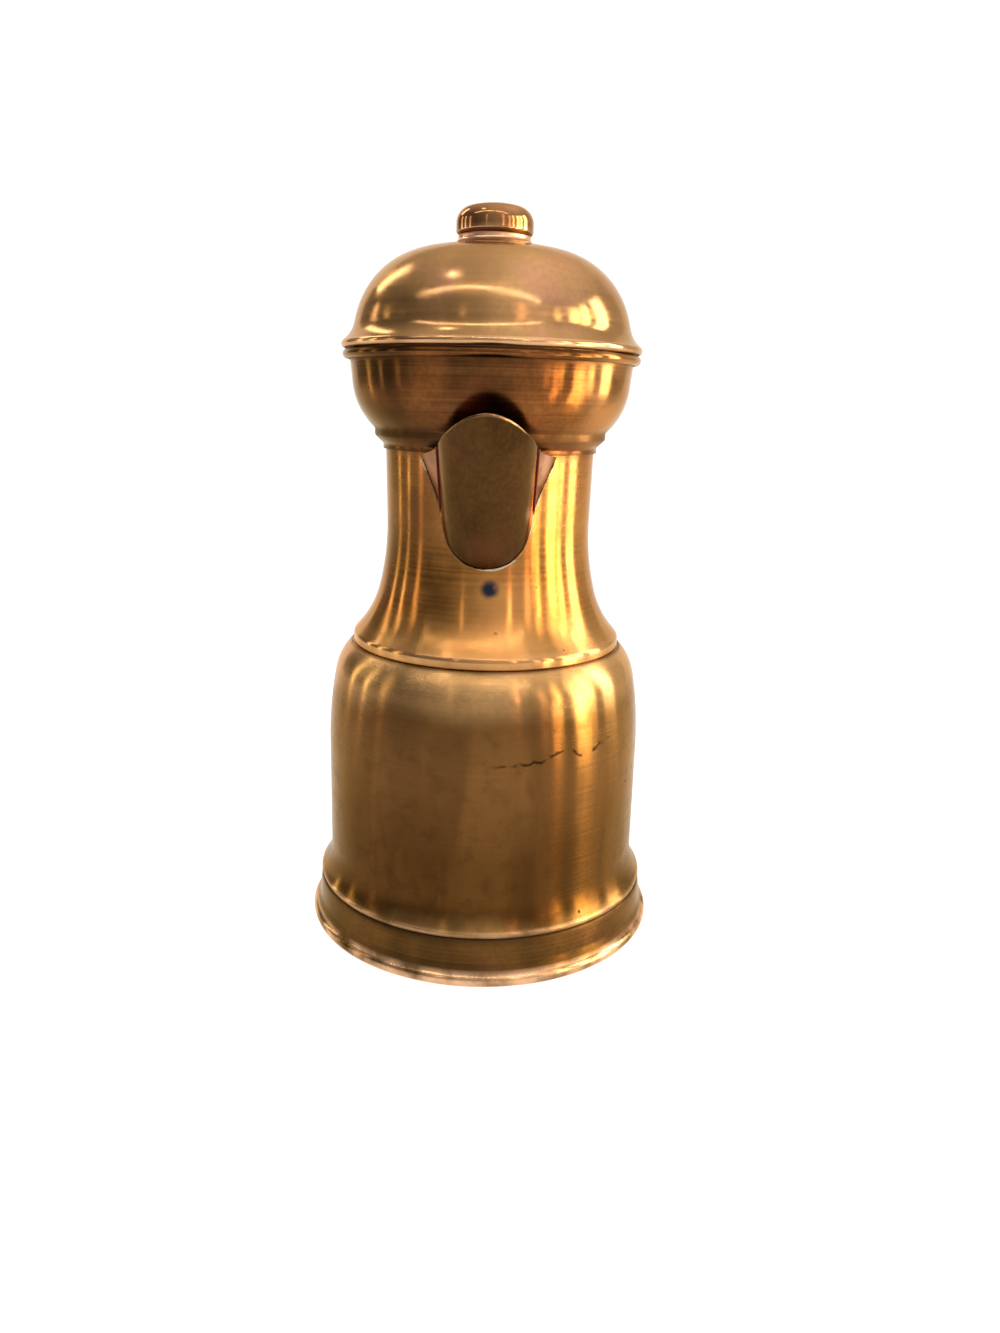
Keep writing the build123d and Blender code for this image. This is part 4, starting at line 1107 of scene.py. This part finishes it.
def studio(scene):
    """The camera, and a plain pale room with its lamps."""
    scene.view_settings.view_transform = "Standard"
    place_camera(scene)
    fill_air(scene)
    lay_paper(scene)
    for lamp in LAMPS:
        softbox(scene, *lamp)


def dress(piece, *materials):
    """Gives a piece its materials. An empty list isn't cleared, which would lose which face has which."""
    if piece.data.materials:
        piece.data.materials.clear()
    for material in materials:
        piece.data.materials.append(material)


def tinned_in_body(at, outward):
    above_foot = 0.5
    wall_only = 5.0
    return outward < 0 and at.z > FOOT_H + above_foot and hypot(at.x, at.y) > SEAM_IN_R - wall_only


def tinned_in_neck(at, outward):
    return outward < 0 and at.z > SEAT_Z + SHEET


def tinned_in_head(_, outward):
    return outward < 0


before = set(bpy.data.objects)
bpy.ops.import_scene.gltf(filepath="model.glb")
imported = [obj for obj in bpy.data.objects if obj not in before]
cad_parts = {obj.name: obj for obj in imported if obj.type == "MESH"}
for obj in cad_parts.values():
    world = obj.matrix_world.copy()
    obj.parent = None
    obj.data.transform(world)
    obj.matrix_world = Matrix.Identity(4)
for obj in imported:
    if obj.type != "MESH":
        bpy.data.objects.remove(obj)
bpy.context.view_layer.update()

vessel = copper(
    "vessel_copper", shine=0.17, scratch=True, brushed=0.94,
    deep=(0.42, 0.235, 0.092), middle=(0.60, 0.345, 0.145), light=(0.70, 0.42, 0.18),
    marks=[
        Mark((-0.006, -0.0685, 0.129), 0.004, PATINA_SPOT, 0.7),
        Mark((0.001, -0.0690, 0.128), 0.003, PATINA_SPOT, 0.6),
    ],
    # Painted shade darkening the body's wall below its shoulder, darkest towards the bottom, and a painted
    # highlight in a golden band just above the foot's ridge
    painted_zones=[
        PaintedZone(0.116, 0.137, (0.108, 0.047, 0.0125), 0.95),
        PaintedZone(0.050, 0.100, (0.066, 0.028, 0.0065), 0.9),
        PaintedZone(0.0225, 0.032, (0.30, 0.16, 0.055), 0.6),
    ],
)
# The foot's dark shades are painted shade, and its strong rub lays a painted highlight along its bead
foot_copper = copper(
    "foot_copper", shine=0.16, brushed=0.8, rub_and_highlight=0.9,
    deep=(0.06, 0.028, 0.007), middle=(0.12, 0.056, 0.014), light=(0.30, 0.16, 0.05),
)
# The bowl's dark shades are painted shade; its first mark is painted shade on its left side and its second a
# painted highlight on its right
bowl_copper = copper(
    "bowl_copper", shine=0.11, brushed=0.88, rub_and_highlight=0.25,
    deep=(0.055, 0.022, 0.007), middle=(0.20, 0.068, 0.018), light=(0.60, 0.30, 0.10),
    marks=[
        Mark((-0.056, -0.032, 0.254), 0.05, (0.040, 0.017, 0.006), 0.95),
        Mark((0.058, -0.030, 0.260), 0.036, (0.66, 0.31, 0.11), 0.5),
    ],
)
# The neck's first mark is painted shade on its left side, its second a painted highlight low on its front,
# and its third a blue-black patina spot; its zone is a painted highlight, paler towards the neck's foot
neck_copper = copper(
    "neck_copper", shine=0.14, brushed=0.92,
    deep=(0.26, 0.108, 0.024), middle=(0.44, 0.19, 0.050), light=(0.70, 0.38, 0.13),
    marks=[
        Mark((-0.047, -0.022, 0.205), 0.05, (0.09, 0.037, 0.010), 0.85),
        Mark((0.006, -0.056, 0.163), 0.030, (0.68, 0.32, 0.10), 0.65),
        Mark((0.002, -0.0495, 0.1745), 0.0055, (0.022, 0.030, 0.052), 1.0),
    ],
    painted_zones=[PaintedZone(0.148, 0.166, (0.52, 0.29, 0.11), 0.4)],
)
lid_copper = copper(
    "lid_copper", shine=0.10, spots=0.15, lines=0.08, brushed=0.2,
    deep=(0.35, 0.185, 0.078), middle=(0.47, 0.26, 0.112), light=(0.66, 0.38, 0.16),
)
# The knob's foot has pale shades as painted light, where it sits in the shade of the knob's head
knob_foot_copper = copper(
    "knob_foot_copper", shine=0.16, spots=0.1, lines=0.1,
    deep=(0.72, 0.42, 0.25), middle=(0.86, 0.54, 0.34), light=(0.90, 0.60, 0.38),
)
knob_copper = copper(
    "knob_copper", shine=0.05, spots=0.1, lines=0.05,
    deep=(0.24, 0.11, 0.045), middle=(0.40, 0.20, 0.085), light=(0.80, 0.48, 0.24),
)
spout_inside = copper(
    "spout_inside", shine=0.42, turned=False,
    deep=(0.13, 0.035, 0.025), middle=(0.22, 0.06, 0.045), light=(0.30, 0.10, 0.06),
)
# The spout's near-black shades are painted shade; its marks paint a highlight on the right fold and wing, a
# faint lighter patch low on its front, and shade on the left fold
RIGHT_FOLD_HIGHLIGHT = (0.62, 0.32, 0.20)
LEFT_FOLD_PAINTED_SHADE = (0.26, 0.11, 0.075)
spout_copper = copper(
    "spout_copper", shine=0.10, turned=False,
    deep=(0.035, 0.016, 0.005), middle=(0.075, 0.034, 0.010), light=(0.24, 0.12, 0.04),
    marks=[
        Mark((0.022, -0.050, 0.228), 0.014, RIGHT_FOLD_HIGHLIGHT, 0.9),
        Mark((0.0185, -0.0475, 0.211), 0.009, RIGHT_FOLD_HIGHLIGHT, 0.8),
        Mark((0.0000, -0.0550, 0.192), 0.012, (0.11, 0.040, 0.015), 0.45),
        Mark((-0.022, -0.050, 0.228), 0.014, LEFT_FOLD_PAINTED_SHADE, 0.9),
        Mark((-0.0185, -0.0475, 0.211), 0.009, LEFT_FOLD_PAINTED_SHADE, 0.8),
    ],
)
handle_copper = copper(
    "handle_copper", shine=0.18, turned=False,
    deep=(0.22, 0.10, 0.03), middle=(0.38, 0.19, 0.065), light=(0.6, 0.34, 0.14),
)
rivet_copper = copper(
    "rivet_copper", shine=0.14, turned=False,
    deep=(0.34, 0.16, 0.06), middle=(0.52, 0.28, 0.12), light=(0.75, 0.46, 0.25),
)
lining = tin("tin_lining")
steel = dull_steel("dull_steel")
solder = solder_grey("old_solder")

foot = spun_piece("foot_hoop", "vessel", foot_section(), SHEET, depth=0.3, cell=30.0, seed=3.0)
dress(foot, foot_copper)
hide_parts("foot_band")
body = spun_piece(
    "round_body", "vessel", body_section(), SHEET, depth=0.35, cell=45.0, seed=7.0, lined=tinned_in_body
)
dress(body, vessel, lining)
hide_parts("body_shell")
neck = spun_piece(
    "waisted_neck", "vessel", neck_section(), SHEET, depth=0.3, cell=36.0, seed=11.0, lined=tinned_in_neck
)
dress(neck, neck_copper, lining)
cut_pour_window(neck)
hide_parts("neck_shell")
head = spun_piece(
    "head_bowl_spun", "vessel", head_section(), SHEET, depth=0.25, cell=34.0, seed=17.0, lined=tinned_in_head
)
dress(head, bowl_copper, lining)
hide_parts("head_bowl")
lid = spun_piece("domed_lid", "lid", lid_section(), LID_SHEET, depth=0.2, cell=36.0, seed=23.0)
dress(lid, lid_copper)
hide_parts("lid_shell")
collar = spun_piece(
    "knob_foot", "lid", knob_collar_section(), KNOB_SHEET,
    depth=0.08, cell=12.0, seed=29.0, steps=KNOB_SPIN_STEPS,
)
dress(collar, knob_foot_copper)
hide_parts("knob_collar")
cap = spun_piece(
    "knob_head", "lid", knob_cap_section(), KNOB_SHEET,
    depth=0.12, cell=12.0, seed=31.0, steps=KNOB_SPIN_STEPS,
)
dress(cap, knob_copper)
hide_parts("knob_cap")

spout = make_spout()
dress(spout, spout_copper, spout_inside)
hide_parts("spout")
seam = make_solder()
dress(seam, solder)

for material, names in (
    (steel, ("foot_wire", "rim_wire", "lid_wire", "hinge_pin")),
    (vessel, ("base_plate",)),
    (lid_copper, ("lid_bezel",)),
    (handle_copper, ("handle", "hinge_bracket", "lid_leaf")),
    (rivet_copper, ("handle_upper_rivets", "handle_lower_rivets")),
    (rivet_copper, ("hinge_bracket_rivets", "lid_leaf_rivets")),
):
    for name in names:
        dress(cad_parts[name], material)

studio(bpy.context.scene)
